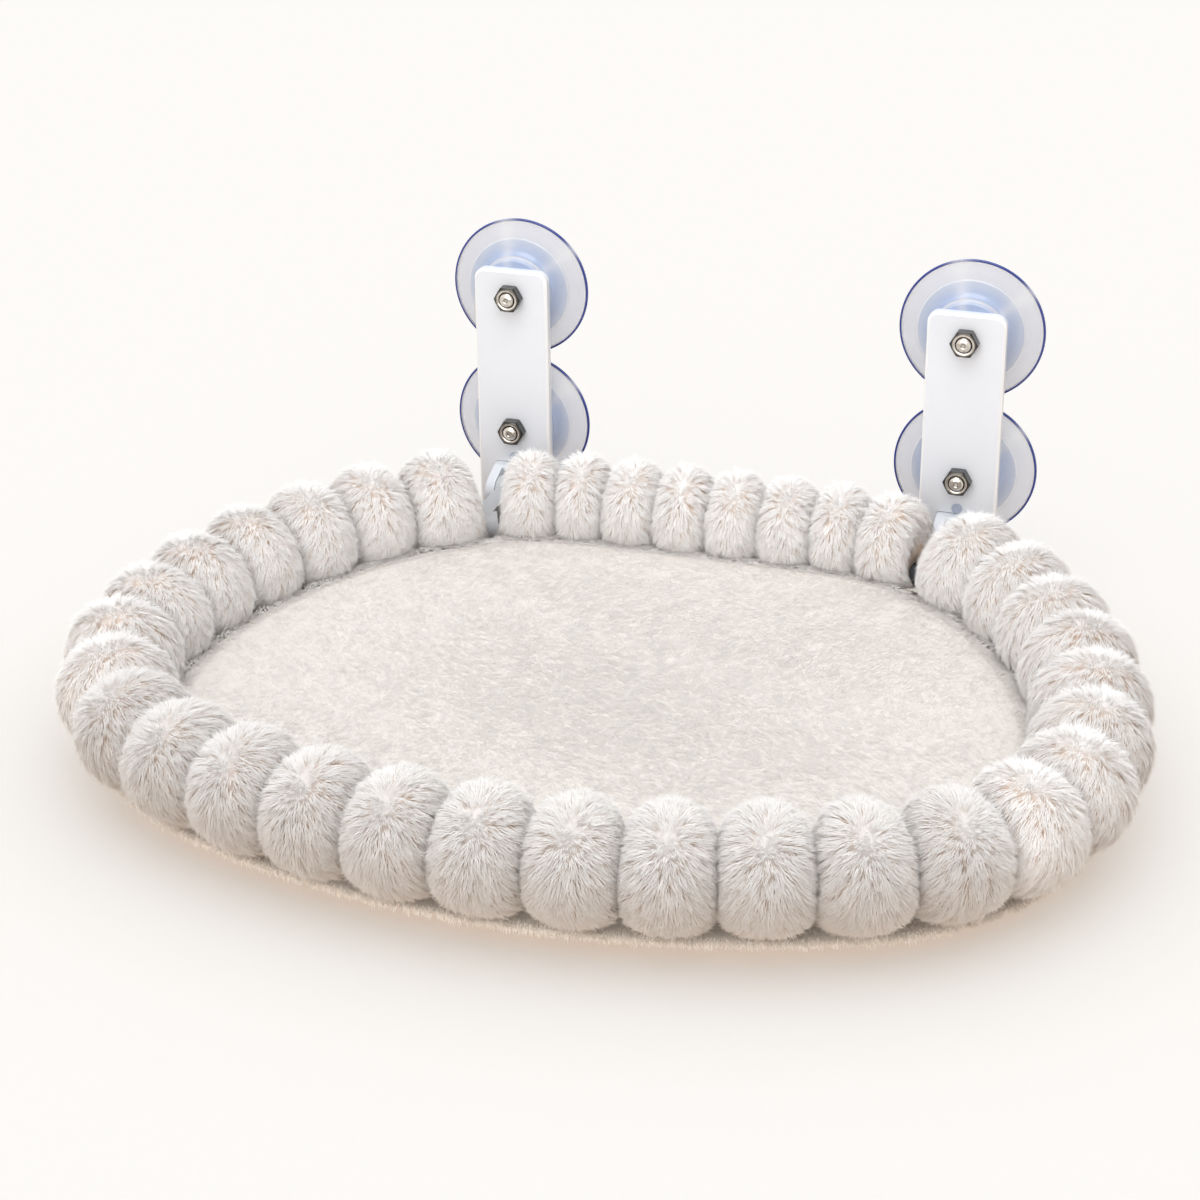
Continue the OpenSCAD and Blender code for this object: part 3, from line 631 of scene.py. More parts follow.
def turned_shapes(name, places, profile, sides):
    """Closed shapes at places of the window, of rows of radius, height and painted darkness."""
    turn = np.arange(sides) * TURN / sides
    faces, shells = quads(len(profile), sides, ring=True), []
    for x, z in places:
        rows = [np.column_stack([
            x + radius * np.cos(turn), -height + 0 * turn, z + radius * np.sin(turn)])
            for radius, height, _ in profile]
        shells.append((np.concatenate(rows), faces))
    obj = mesh_piece(name, *joined(shells))
    # The last value of each row is painted darkness, stored at the points
    shades = [shade for _, _, shade in profile]
    store_values(obj, "flank", np.tile(np.repeat(shades, sides), len(places)))
    return obj


def hex_nuts(name, places, sides=72):
    """Hexagon nuts with the arcs that a turned chamfer cuts, and a countersunk bore."""
    turn = np.arange(sides) * TURN / sides
    flat, foot, top = NUT_AF / 2, PLATE_FRONT, PLATE_FRONT + NUT_H
    bore, sink, band = STUD_D / 2 + 0.05, 0.7, 0.15
    hexagon = flat / np.cos((turn % (math.pi / 3)) - math.pi / 6)
    chamfer = np.clip(hexagon - 0.95 * flat, 0, None) * math.tan(math.radians(30))
    # Each row's last value is painted darkness: painted dark reflections on the flanks and chamfer,
    # painted shade in the bore
    return turned_shapes(name, places, (
        (bore, foot, 1), (bore, top - sink, 0.9), (bore + sink, top, 0), (0.86 * flat, top, 0),
        (0.9 * flat, top, 0.75), (0.95 * flat, top, 0.9), (hexagon, top - chamfer, 1),
        (hexagon, top - chamfer - band, 1), (hexagon, foot + chamfer, 1),
        (0.95 * flat, foot, 1)), sides)


def stud_ends(name, places, sides=36):
    """Domed ends of the studs with a small centre mark."""
    end = PLATE_FRONT + NUT_H + STUD_PROUD
    radius = STUD_D / 2 + 0.01
    # Each row's last value is painted darkness: painted shade in the centre dimple and down the
    # sides
    return turned_shapes(name, places, (
        (radius, end - 2.2, 1), (radius, end - 0.9, 0.9), (radius - 0.3, end - 0.4, 0.2),
        (radius - 1.0, end, 0), (radius - 1.9, end + 0.3, 0), (1.5, end + 0.4, 0),
        (1.1, end + 0.1, 0.7), (0.6, end - 0.1, 0.9), (0.01, end - 0.15, 0.9),
        (0.01, end - 2.2, 1)), sides)


# Painted reflections: light wedges painted on the cups' vinyl, by their turn and half width in
# degrees
PAINTED_REFLECTIONS = ((103, 9), (38, 7), (-20, 6))


class PERCH_OT_cups(bpy.types.Operator):
    """Make the four suction cups, their studs and their nuts"""

    bl_idname = "perch.cups"
    bl_label = "Suction cups"

    def execute(self, context):
        colours = context.scene.perch_colours
        # The last colour is the lip's painted dark blue refraction line
        vinyl = clear_vinyl("cup_vinyl", srgb(0.71, 0.785, 0.93), tuple(colours.cup),
                            srgb(0.86, 0.88, 0.94), srgb(0.14, 0.23, 0.58))
        steel = metal("nickel_steel", tuple(colours.metal), 0.14)
        for level, z in (("upper", CUP_PITCH), ("lower", 0)):
            for side, x in zip(SIDES, (-ARM_X, ARM_X)):
                node = f"suction_cup_{level}_{side}"
                cup, radius, turn = lathe(node + "_clear", (x, z), cup_profile())
                # Painted reflections, as a share at each point round the cup
                gleam = sum(np.exp(-((turn - math.radians(at)) / math.radians(wide)) ** 2)
                            for at, wide in PAINTED_REFLECTIONS)
                store_values(cup, "reach", np.append(radius, [0, 0]) / CUP_R)
                store_values(cup, "gleam", np.append(gleam, [0, 0]))
                set_down(cup, "brackets", vinyl, "cup_vinyl", node)
        places = [(x, z) for x in (-ARM_X, ARM_X) for z in (0, CUP_PITCH)]
        nuts = hex_nuts("hex_nuts_turned", places)
        set_down(nuts, "brackets", steel, "nickel_steel", "hex_nuts")
        set_down(stud_ends("stud_ends", places), "brackets", steel, "nickel_steel")
        refine("cup_studs", 0.25, "brackets", steel, "nickel_steel")
        return {"FINISHED"}


class PERCH_OT_plates(bpy.types.Operator):
    """Make the two bracket plates"""

    bl_idname = "perch.plates"
    bl_label = "Bracket plates"

    def execute(self, context):
        colour = tuple(context.scene.perch_colours.plate)
        finish = moulded("plate_plastic", colour, 0.34, 1100.0, 0.03, 0.15)
        for side in SIDES:
            plate = refine("bracket_plate_" + side, 0.45, "brackets", finish, "plate_plastic", 3)
            mesh = plate.data
            # The sloping bevel faces store the edge share that moulded paints pale, a painted
            # highlight
            slopes = [0.2 < abs(face.normal.y) < 0.97 for face in mesh.polygons]
            edge = mesh.attributes.new("edge", "FLOAT", "FACE")
            edge.data.foreach_set("value", np.array(slopes, np.float32))
        return {"FINISHED"}


class PERCH_OT_hinges(bpy.types.Operator):
    """Make the clevises with their rivets, pins and clips"""

    bl_idname = "perch.hinges"
    bl_label = "Hinges"

    def execute(self, context):
        colour = tuple(context.scene.perch_colours.clevis)
        finish = moulded("clevis_plastic", colour, 0.36, 1100.0)
        zinc = metal("rivet_steel", srgb(0.62, 0.65, 0.70), 0.42)
        for side in SIDES:
            refine("hinge_clevis_" + side, 0.5, "brackets", finish, "clevis_plastic", 3)
            refine("hinge_pin_" + side, 0.15, "brackets", zinc, "rivet_steel")
        refine("pin_clips", 0.12, "brackets", zinc, "rivet_steel")
        heads = moulded("rivet_enamel", srgb(0.68, 0.72, 0.79), 0.3, 1500.0)
        refine("hinge_rivets", 0.2, "brackets", heads, "rivet_steel", 3)
        return {"FINISHED"}


class PERCH_OT_arms(bpy.types.Operator):
    """Make the two arms and their heel pads"""

    bl_idname = "perch.arms"
    bl_label = "Arms"

    def execute(self, context):
        finish = moulded("arm_plastic", tuple(context.scene.perch_colours.arm), 0.36, 1100.0)
        for side in SIDES:
            refine("arm_" + side, 0.3, "perch", finish, "arm_plastic")
        black = rubber("pad_rubber", srgb(0.2, 0.2, 0.21))
        refine("heel_pads", 0.2, "perch", black, "pad_rubber")
        return {"FINISHED"}


class PERCH_OT_tubes(bpy.types.Operator):
    """Make the frame's tubes, sleeve and spring pins"""

    bl_idname = "perch.tubes"
    bl_label = "Frame tubes"

    def execute(self, context):
        steel = moulded("tube_paint", srgb(0.34, 0.35, 0.37), 0.4, 700.0)
        for node in ("rear_rail", "hoop_left", "hoop_right", "hoop_sleeve", "spring_pins"):
            refine(node, 0, "perch", steel, "frame_steel")
        return {"FINISHED"}


# A lobe's grid, the radius of its channel for the tube, and its clearance from its neighbour
LOBE_SIDES, LOBE_STEPS = 30, 16
CHANNEL_R = 7.2
LOBE_INSET = 0.35
# How square a lobe is towards a neighbour and towards an arm, and its lean in front of the arm
ROUND_END, FULL_END = (2.15, 0.0), (2.6, 9.5)
# Shares of the pile's length that the skin lies inside a lobe's radius and inside its seams
SKIN_IN, SEAM_IN = 0.4, 0.75
# How much the comb pulls along a lobe and down
COMB_ALONG, COMB_DOWN = 1.5, -0.3
# The pile's angle from upright, in degrees, at a lobe's crown, with what it gains close to the
# crown and further away, and on the seat and the lower cover's rim
CROWN_FALL, CLOSE_FALL, AWAY_FALL = 14, 48, 12
SEAT_FALL, RIM_FALL = 79, 72


def lobe_skin(start, end, outer_r, pile, crown, ends):
    """Points, faces and pile values of one lobe's skin, with a channel for the tube."""
    middle, half = (start + end) / 2, (end - start) / 2
    skin_r, skin_seam = outer_r - SKIN_IN * pile, SEAM_R - SEAM_IN * pile
    (low_power, low_lean), (high_power, high_lean) = ends
    share = -np.cos(np.linspace(0, math.pi, LOBE_STEPS + 1))
    power = np.where(share < 0, low_power, high_power)
    swell = np.clip(1 - np.abs(share) ** power, 0, None) ** 0.5
    first, last = start + LOBE_INSET, end - LOBE_INSET
    # Each row's reach, radius, height, and whether pile grows there
    rows = [(first, CHANNEL_R, TUBE_Z, 0), (first, skin_seam - 2, SEAM_Z - 2, 0)]
    rows += [(middle + (half - LOBE_INSET) * a, skin_seam + (skin_r - skin_seam) * w,
              SEAM_Z + (LOBE_Z - SEAM_Z) * w, 1) for a, w in zip(share, swell)]
    rows += [(last, skin_seam - 2, SEAM_Z - 2, 0), (last, CHANNEL_R, TUBE_Z, 0),
             (middle, CHANNEL_R, TUBE_Z, 0)]
    reach, radius, height, outer = (np.array(v, float) for v in zip(*rows))
    turn = steps_round(TURN, LOBE_SIDES)
    cos, sin = np.cos(turn)[None, :, None], np.sin(turn)[None, :, None]
    far = (reach - middle) / half
    # The inner low part of a lobe beside an arm leans in front of the arm
    most = np.sign(far) * np.where(far < 0, low_lean, high_lean)
    leaned = most * np.abs(far) ** 3 * np.clip((radius - 10) / 6, 0, 1)
    inner_low = np.clip(-1.2 * np.cos(turn), 0, 1) * (0.65 - 0.35 * np.sin(turn))
    x, y, heading = ring_spots(reach[:, None] + leaned[:, None] * inner_low)
    out = np.stack([np.sin(heading), np.cos(heading)], -1)
    flat = np.stack([x, y], -1) + radius[:, None, None] * cos * out
    rise = height[:, None, None] + radius[:, None, None] * sin
    points = np.concatenate([flat, rise], -1)
    # The pile lies away from a crown high on the outer side, down the lobe and into the seams
    lean = far[:, None, None]
    along = np.stack([np.cos(heading), -np.sin(heading), 0 * heading], -1)
    around = np.concatenate([-sin * out, cos + 0 * out[..., :1]], -1)
    past = turn[None, :, None] - math.radians(crown)
    comb = COMB_ALONG * lean * along + np.sin(past) * around + np.array([0, 0, COMB_DOWN])
    spread = np.sqrt(lean ** 2 + (0.75 * np.sin(past / 2) * 2) ** 2)[..., 0]
    close, away = np.clip(spread / 0.5, 0, 1), np.clip(spread / 1.2, 0, 1)
    fall = CROWN_FALL + CLOSE_FALL * close + AWAY_FALL * away
    bare = (np.sin(turn) < -0.7) & (np.cos(turn) < 0)
    thick = np.where(bare, 0.0, np.where(np.sin(turn) < -0.85, 0.35, 1.0))
    long = (1 - 0.45 * np.abs(lean[..., 0]) ** 3) * (0.6 + 0.4 * np.clip(spread / 0.45, 0, 1))
    faces = [face[::-1] for face in quads(len(rows), LOBE_SIDES, ring=True)]
    return points.reshape(-1, 3), faces, {
        "comb": comb.reshape(-1, 3), "fall": np.radians(fall).ravel(),
        "cover": (outer[:, None] * thick[None]).ravel(), "length": long.ravel(),
        "pale": 0.8 * np.clip(1.3 - spread / 0.5, 0, 1).ravel()}


def near_arm(edge, pitch):
    reach = min(abs(abs(edge) - ARM_REACH), abs(RING - edge - ARM_REACH))
    return reach < pitch / 2


def bolster_skin(name, run, first, count, outer_r, pile, crown):
    """Skin of a run of lobes with the pile's values stored at its points."""
    start, pitch = run
    shells, values = [], {}
    for index in range(first, first + count):
        begin = start + index * pitch + SOFT_GAP / 2
        ends = [FULL_END if near_arm(edge, pitch) else ROUND_END
                for edge in (begin, begin + pitch)]
        *shell, lobe_values = lobe_skin(
            begin, begin + pitch - SOFT_GAP, outer_r, pile, crown, ends)
        shells.append(shell)
        for key, value in lobe_values.items():
            values.setdefault(key, []).append(value)
    obj = mesh_piece(name, *joined(shells))
    store_pile(obj, **{key: np.concatenate(value) for key, value in values.items()})
    return obj


def store_pile(obj, comb, fall, cover=1, length=1, pale=0):
    """Stores how the pile lies, by its direction, its angle from upright, cover and length."""
    store_values(obj, "comb", comb, "FLOAT_VECTOR", "vector")
    for name, value in (("fall", fall), ("cover", cover), ("length", length), ("pale", pale)):
        store_values(obj, name, np.broadcast_to(value, len(comb)))


def tuft(name, seed, blades, spread, width, gather, stray):
    """A small bundle of bent tapering blades, one unit high, that leans along X."""
    chance = np.random.default_rng(seed)
    points, faces, maps = [], [], []
    for index in range(blades):
        angle = 2.4 * index + chance.uniform(-0.3, 0.3)
        far = spread * math.sqrt((index + 0.6) / blades)
        root = np.array([far * math.cos(angle), far * math.sin(angle), 0])
        long = chance.uniform(0.78, 1.1)
        tip = np.array([long + gather * root[0], gather * root[1] + chance.uniform(-stray, stray),
                        long * chance.uniform(0.75, 1.3)])
        bend = np.array([0.36 * tip[0] + 0.64 * root[0], 0.55 * root[1] + 0.45 * tip[1],
                         0.62 * tip[2]])
        side = np.array([0, width / 2, 0])
        base = len(points)
        points += [root, bend - side, bend + side, tip]
        faces += [[base, base + 1, base + 2], [base + 1, base + 3, base + 2]]
        maps += [(0.5, 0), (0, 0.5), (1, 0.5), (0, 0.5), (0.5, 1), (1, 0.5)]
    obj = mesh_piece(name, np.array(points) / MM, faces)
    layer = obj.data.uv_layers.new(name="blade")
    layer.data.foreach_set("uv", np.array(maps, np.float32).ravel())
    return obj


def tree_with(name, sockets):
    """A geometry tree with named inputs, and the wires of its group input."""
    tree = bpy.data.node_groups.new(name, "GeometryNodeTree")
    for label, kind in {"Geometry": "Geometry", **sockets}.items():
        tree.interface.new_socket(label, in_out="INPUT", socket_type="NodeSocket" + kind)
    tree.interface.new_socket("Geometry", in_out="OUTPUT", socket_type="NodeSocketGeometry")
    group = tree.nodes.new("NodeGroupInput")
    return tree, {s.name: Wire(tree, s) for s in group.outputs if s.name}


def close_tree(tree, geometry, finish):
    """Gives a tree's geometry its material and sends it out."""
    geometry = place(tree, "GeometryNodeSetMaterial", {"Geometry": geometry, "Material": finish})
    place(tree, "NodeGroupOutput", {0: geometry})


def shape_of(tree, obj):
    return place(tree, "GeometryNodeObjectInfo", {"Object": obj, "As Instance": True},
                 out="Geometry")


def turned_to(tree, upright, tangent):
    return place(tree, "FunctionNodeAxesToRotation",
                 {"Primary Axis": upright, "Secondary Axis": tangent},
                 primary_axis="Z", secondary_axis="X")


def pile_tree():
    """Geometry tree that grows tufts on a skin along its comb attribute."""
    tree, given = tree_with("grow_pile", {
        "Length": "Float", "Spacing": "Float", "Ruffle": "Float", "Clump Size": "Float",
        "Lift": "Float", "Softness": "Float", "Seed": "Int", "Tuft A": "Object",
        "Tuft B": "Object", "Tuft C": "Object", "Finish": "Material"})

    def stored(name, kind="FLOAT"):
        return place(tree, "GeometryNodeInputNamedAttribute", {"Name": name}, data_type=kind)

    def store(geometry, name, value, kind="FLOAT", domain="POINT"):
        return place(tree, "GeometryNodeStoreNamedAttribute",
                     {"Geometry": geometry, "Name": name, "Value": value},
                     data_type=kind, domain=domain)

    def chance(low, high, step, kind="FLOAT"):
        return place(tree, "FunctionNodeRandomValue",
                     {"Min": low, "Max": high, "Seed": given["Seed"] + step}, data_type=kind)

    def clumps(share, detail, out):
        return place(tree, "ShaderNodeTexNoise", {
            "Vector": place(tree, "GeometryNodeInputPosition"),
            "Scale": share * given["Clump Size"] ** -1.0, "Detail": detail}, out=out)

    spots = place(tree, "GeometryNodeDistributePointsOnFaces", {
        "Mesh": given["Geometry"], "Distance Min": given["Spacing"],
        "Density Max": 1.9 * given["Spacing"] ** -2.0,
        "Density Factor": stored("cover"), "Seed": given["Seed"]}, distribute_method="POISSON")
    normal = spots.other("Normal")
    swirl = vector(tree, "SUBTRACT", clumps(1.0, 2.0, "Color"), (0.5, 0.5, 0.5))
    comb = vector(tree, "ADD", stored("comb", "FLOAT_VECTOR"),
                  scaled(tree, swirl, given["Ruffle"]))
    twist = place(tree, "FunctionNodeAxisAngleToRotation",
                  {"Axis": (0, 0, 1), "Angle": chance(-0.35, 0.35, 1)})
    turned = place(tree, "FunctionNodeRotateRotation",
                   {"Rotation": turned_to(tree, normal, comb), "Rotate By": twist},
                   rotation_space="LOCAL")
    clump = clumps(0.6, 1.0, "Fac")
    fall = stored("fall") + given["Lift"] * (chance(-0.4, 0.4, 2) + clump - 0.5)
    long = given["Length"] * stored("length") * chance(0.85, 1.12, 3)
    size = place(tree, "ShaderNodeCombineXYZ",
                 {0: long * fall.sine(), 1: long, 2: long * fall.cosine()})
    tone = (0.5 + 1.1 * (clump - 0.5) + chance(-0.4, 0.4, 4)).clamped()
    # Lying blades are lit like the skin under them, and standing ones more by their own sides
    up = scaled(tree, normal, given["Softness"] * (0.3 + 0.7 * fall.sine() ** 4.0))
    spots = store(spots, "tone", tone)
    spots = store(spots, "up", up, "FLOAT_VECTOR")
    spots = store(spots, "pale", stored("pale"))
    kinds = tree.nodes.new("GeometryNodeJoinGeometry")
    for label in ("Tuft C", "Tuft B", "Tuft A"):
        tree.links.new(shape_of(tree, given[label]).socket, kinds.inputs[0])
    tufts = place(tree, "GeometryNodeInstanceOnPoints", {
        "Points": spots, "Instance": Wire(tree, kinds.outputs[0]), "Pick Instance": True,
        "Instance Index": chance(0, 2, 5, "INT"), "Rotation": turned, "Scale": size})
    pile = place(tree, "GeometryNodeRealizeInstances", {"Geometry": tufts})
    blade = place(tree, "ShaderNodeSeparateXYZ", {0: stored("blade", "FLOAT_VECTOR")})
    along = blade.other("Y")
    along = along + stored("pale") * (0.9 - 0.9 * along)
    spot = place(tree, "ShaderNodeCombineXYZ", {
        0: 0.01 + 0.96 * stored("tone") + 0.02 * blade, 1: 0.01 + 0.98 * along})
    pile = store(pile, PLUSH_MAP, spot, "FLOAT2", "CORNER")
    pile = place(tree, "GeometryNodeSetShadeSmooth", {"Geometry": pile, "Shade Smooth": True})
    facing = vector(tree, "ADD", place(tree, "GeometryNodeInputNormal"),
                    stored("up", "FLOAT_VECTOR"))
    pile = place(tree, "GeometryNodeSetMeshNormal",
                 {"Mesh": pile, "Custom Normal": vector(tree, "NORMALIZE", facing)},
                 mode="FREE", domain="POINT")
    for name in ("blade", "comb", "fall", "cover", "length", "tone", "up", "pale"):
        pile = place(tree, "GeometryNodeRemoveAttribute", {"Geometry": pile, "Name": name})
    close_tree(tree, pile, given["Finish"])
    return tree


def grown(name, host, tree, values):
    """A new piece that a geometry tree makes on a host, as a plain mesh, without the host."""
    obj = linked(name, host.data.copy())
    modifier = obj.modifiers.new("Grow", "NODES")
    modifier.node_group = tree
    sockets = {s.name: s.identifier for s in tree.interface.items_tree if s.in_out == "INPUT"}
    for label, value in values.items():
        modifier[sockets[label]] = value
    made_plain(obj)
    take_away(host)
    return obj


# How each pile grows: the stray of its direction, the size of its clumps, the stray of its fall,
# and how far its normals turn to the skin's. Then a tuft's seed, blades, spread, blade width,
# gather of the tips and their stray.
RING_PILE = {"Ruffle": 0.6, "Clump Size": 4 * MM, "Lift": 0.22, "Softness": 1.9}
RING_TUFT = (11, 11, 0.19, 0.042, 0.95, 0.2)
SEAT_PILE = {"Ruffle": 1.2, "Clump Size": 7 * MM, "Lift": 0.08, "Softness": 4.0}
SEAT_TUFT = (31, 7, 0.28, 0.085, 1.0, 0.35)
RIM_PILE = {"Ruffle": 1.0, "Clump Size": 4 * MM, "Lift": 0.3, "Softness": 2.5,
            "Length": 4.2 * MM, "Spacing": 1.5 * MM}
RIM_TUFT = (51, 6, 0.3, 0.14, 1.0, 0.3)


class Grower:
    """Grows one kind of pile on hosts, until its tufts are taken away."""

    def __init__(self, name, kind, finish, shape, **sizes):
        seed, *form = shape
        self.tree = pile_tree()
        self.tufts = [tuft(f"{name}_tuft_{k}", seed + k, *form) for k in range(3)]
        labels = ("Tuft A", "Tuft B", "Tuft C")
        self.values = {"Finish": finish, **kind, **dict(zip(labels, self.tufts)), **sizes}

    def grow(self, name, host, seed):
        return grown(name, host, self.tree, {**self.values, "Seed": seed})

    def clear(self):
        take_away(*self.tufts)


# Runs of lobes: name, start and pitch, first lobe, lobes in each piece of pile, radius, and the
# angle of the pile's crown above the outward side
BACK_RUN = (-BACK_END, BACK_PITCH)
FRONT_RUN = (FRONT_BEGIN, FRONT_PITCH)
SECTIONS = (
    ("bolster_back", BACK_RUN, 0, (4, 4), BACK_LOBE_R, 112),
    ("bolster_rear_right", FRONT_RUN, 0, (3,), LOBE_R, 100),
    ("bolster_side_right", FRONT_RUN, 3, (3, 2), LOBE_R, 80),
    ("bolster_front", FRONT_RUN, 8, (4, 3, 4), LOBE_R, 55),
    ("bolster_side_left", FRONT_RUN, 19, (3, 2), LOBE_R, 80),
    ("bolster_rear_left", FRONT_RUN, 24, (3,), LOBE_R, 100),
)
FOLDING = ("bolster_back", "bolster_rear_left", "bolster_rear_right")


def flattens(obj):
    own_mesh(obj)


class PERCH_OT_bolster(bpy.types.Operator):
    """Make the plush lobes round the frame"""

    bl_idname = "perch.bolster"
    bl_label = "Plush ring"

    def execute(self, context):
        sizes, colours = context.scene.perch_sizes, context.scene.perch_colours
        pile_mm, root = sizes.pile / MM, tuple(colours.pile_root)
        finish = plush("long_plush", root, tuple(colours.pile_tip), 0.09)
        # Painted shade: the skin under the pile is darkened and warmed towards brown to stand in
        # for shade in the seams between lobes, and it turns pale at the crowns
        painted_seam_shade = tuple(c * k for c, k in zip(root, (0.92, 0.83, 0.75)))
        skin_finish = backing("plush_backing", painted_seam_shade, 700.0, 0.4, srgb(0.924, 0.932, 0.943))
        grower = Grower("ring", RING_PILE, finish, RING_TUFT, Length=sizes.pile,
                        Spacing=sizes.pile_spacing)
        for name, run, first, parts, outer_r, crown in SECTIONS:
            skin = bolster_skin(name + "_skin", run, first, sum(parts), outer_r, pile_mm, crown)
            begin = first
            for number, count in enumerate(parts):
                host = bolster_skin("host", run, begin, count, outer_r, pile_mm, crown)
                pile = grower.grow(f"{name}_pile_{number + 1}", host, 100 + begin)
                set_down(pile, "perch", finish, "long_plush")
                if name in FOLDING:
                    flattens(pile)
                begin += count
            set_down(skin, "perch", skin_finish, "long_plush", name)
            if name in FOLDING:
                flattens(skin)
        grower.clear()
        return {"FINISHED"}


SEAT_POINTS = 192
SEAT_SLICES = 3
# How far the pile's host reaches under the lobes, and how deep the tufts stand in the cover
PILE_REACH, PILE_SINK = 3.5, 0.3
SEAT_MIDDLE = np.array([0.0, -(RAIL_OUT - RUNS[3][0][1] + RUNS[3][1]) / 2])
# Soft folds of the seat: both ends, width and height in millimetres
FOLDS = (
    ((-112, -96), (-70, -150), 9, 1.8), ((-96, -92), (-30, -170), 12, 1.3),
    ((112, -98), (84, -160), 9, 1.9), ((96, -92), (30, -150), 12, 1.2),
    ((128, -112), (120, -190), 10, 1.5), ((-128, -116), (-110, -200), 10, 1.3))


def seat_outline(points, extra=0.0):
    """Points of the seat's edge inside the lobes, or some millimetres further out."""
    reach = steps_round(RING, points)
    near = np.minimum(reach, RING - reach)
    share = np.clip((near - BACK_END) / (FRONT_BEGIN - BACK_END), 0, 1)
    edge = LOBE_Z - (SEAT_Z - SEAT_COVER_T / 2)
    back, front = (math.sqrt(r * r - edge * edge) + SOFT_GAP for r in (BACK_LOBE_R, LOBE_R))
    return ring_loop(points, back * (1 - share) + front * share - extra)


def fold_height(spots):
    """Height of the folds at each spot, in millimetres, with a shallow trough beside each."""
    total = np.zeros(len(spots))
    for low, high, width, height in FOLDS:
        low, high = np.array(low, float), np.array(high, float)
        run = high - low
        t = np.clip((spots - low) @ run / (run @ run), 0, 1)
        far = np.linalg.norm(spots - low - t[:, None] * run, axis=1)
        ridge = height * np.exp(-(far / width) ** 2) * (1 - t) ** 0.7
        total += ridge - 0.4 * height * np.exp(-(far / width / 2) ** 2) * (1 - t)
    return total


def drawn_in(outline, share):
    """An outline drawn in towards the seat's middle."""
    return SEAT_MIDDLE + (outline - SEAT_MIDDLE) * share


def dished(spots, share, top, sag, relief=None):
    """Heights that sag to the middle, with a relief that fades out at the edge."""
    height = top - sag * (1 - share ** 2)
    return height + relief(spots) * np.clip((1 - share) * 12, 0, 1) if relief else height


def soft_sheet(name, outline, top, thick, sag, rings=26, relief=None):
    """A closed sheet with a rounded edge that sags to its middle."""
    count = len(outline)
    shares = np.linspace(1, 0, rings, endpoint=False)
    spots = np.concatenate([drawn_in(outline, s) for s in shares] + [[SEAT_MIDDLE]])
    share = np.concatenate([np.repeat(shares, count), [0]])
    height = dished(spots, share, top, sag, relief)
    edge = np.clip((1 - share) * 40, 0, 1) ** 0.5
    upper, lower = (height - thick / 2 + sign * (thick / 2 * edge) for sign in (1, -1))
    points = np.concatenate([np.column_stack([spots, z]) for z in (upper, lower)])
    half = len(spots)
    faces = []
    for face in quads(rings, count):
        faces += [face, [half + i for i in face[::-1]]]
    last = (rings - 1) * count
    for i in range(count):
        after = (i + 1) % count
        faces += [[last + i, last + after, half - 1],
                  [2 * half - 1, half + last + after, half + last + i],
                  [half + i, half + after, after, i]]
    return mesh_piece(name, points, facing_out(points, faces))


def seat_host(part):
    """A slice of the seat's top with the values its pile grows by."""
    outline = seat_outline(SEAT_POINTS, PILE_REACH)
    low, high = (n * SEAT_POINTS // SEAT_SLICES for n in (part, part + 1))
    edge = np.concatenate([outline, outline[:1]])[low:high + 1]
    shares = np.linspace(1, 0, 30)
    spots = np.concatenate([drawn_in(edge, s) for s in shares])
    share = np.repeat(shares, len(edge))
    height = dished(spots, share, SEAT_Z, SEAT_SAG, fold_height)
    faces = [face[::-1] for face in quads(len(shares), len(edge), loop=False)]
    obj = mesh_piece("host", np.column_stack([spots, height - PILE_SINK]), faces)
    flow = spots * 0.011
    comb = np.column_stack([
        np.sin(flow[:, 1] * 1.7 + 0.6 * np.sin(flow[:, 0])),
        -0.9 + 0.5 * np.cos(flow[:, 0] * 1.3), 0 * share])
    store_pile(obj, comb, math.radians(SEAT_FALL))
    return obj


class PERCH_OT_seat(bpy.types.Operator):
    """Make the plush seat cover and the wadding under it"""

    bl_idname = "perch.seat"
    bl_label = "Seat"

    def execute(self, context):
        sizes, colours = context.scene.perch_sizes, context.scene.perch_colours
        root = tuple(colours.seat_root)
        cover = soft_sheet("seat_cover_cloth", seat_outline(SEAT_POINTS), SEAT_Z, SEAT_COVER_T,
                           SEAT_SAG, relief=fold_height)
        cloth = backing("seat_backing", root, 600.0, 0.5)
        set_down(cover, "perch", cloth, "seat_plush", "seat_cover")
        finish = plush("seat_plush", root, tuple(colours.seat_tip), 0.04)
        grower = Grower("seat", SEAT_PILE, finish, SEAT_TUFT, Length=sizes.seat_pile,
                        Spacing=sizes.seat_spacing)
        for part in range(SEAT_SLICES):
            pile = grower.grow(f"seat_pile_{part + 1}", seat_host(part), 300 + part)
            set_down(pile, "perch", finish, "seat_plush")
        grower.clear()
        outline = drawn_in(seat_outline(SEAT_POINTS // 2), 0.97)
        wadding = soft_sheet("seat_wadding_fleece", outline, WADDING_Z, WADDING_T, SEAT_SAG, 12)
        fleece = backing("wadding", srgb(0.95, 0.95, 0.94), 260.0, 0.8)
        set_down(wadding, "perch", fleece, "wadding", "seat_wadding")
        return {"FINISHED"}


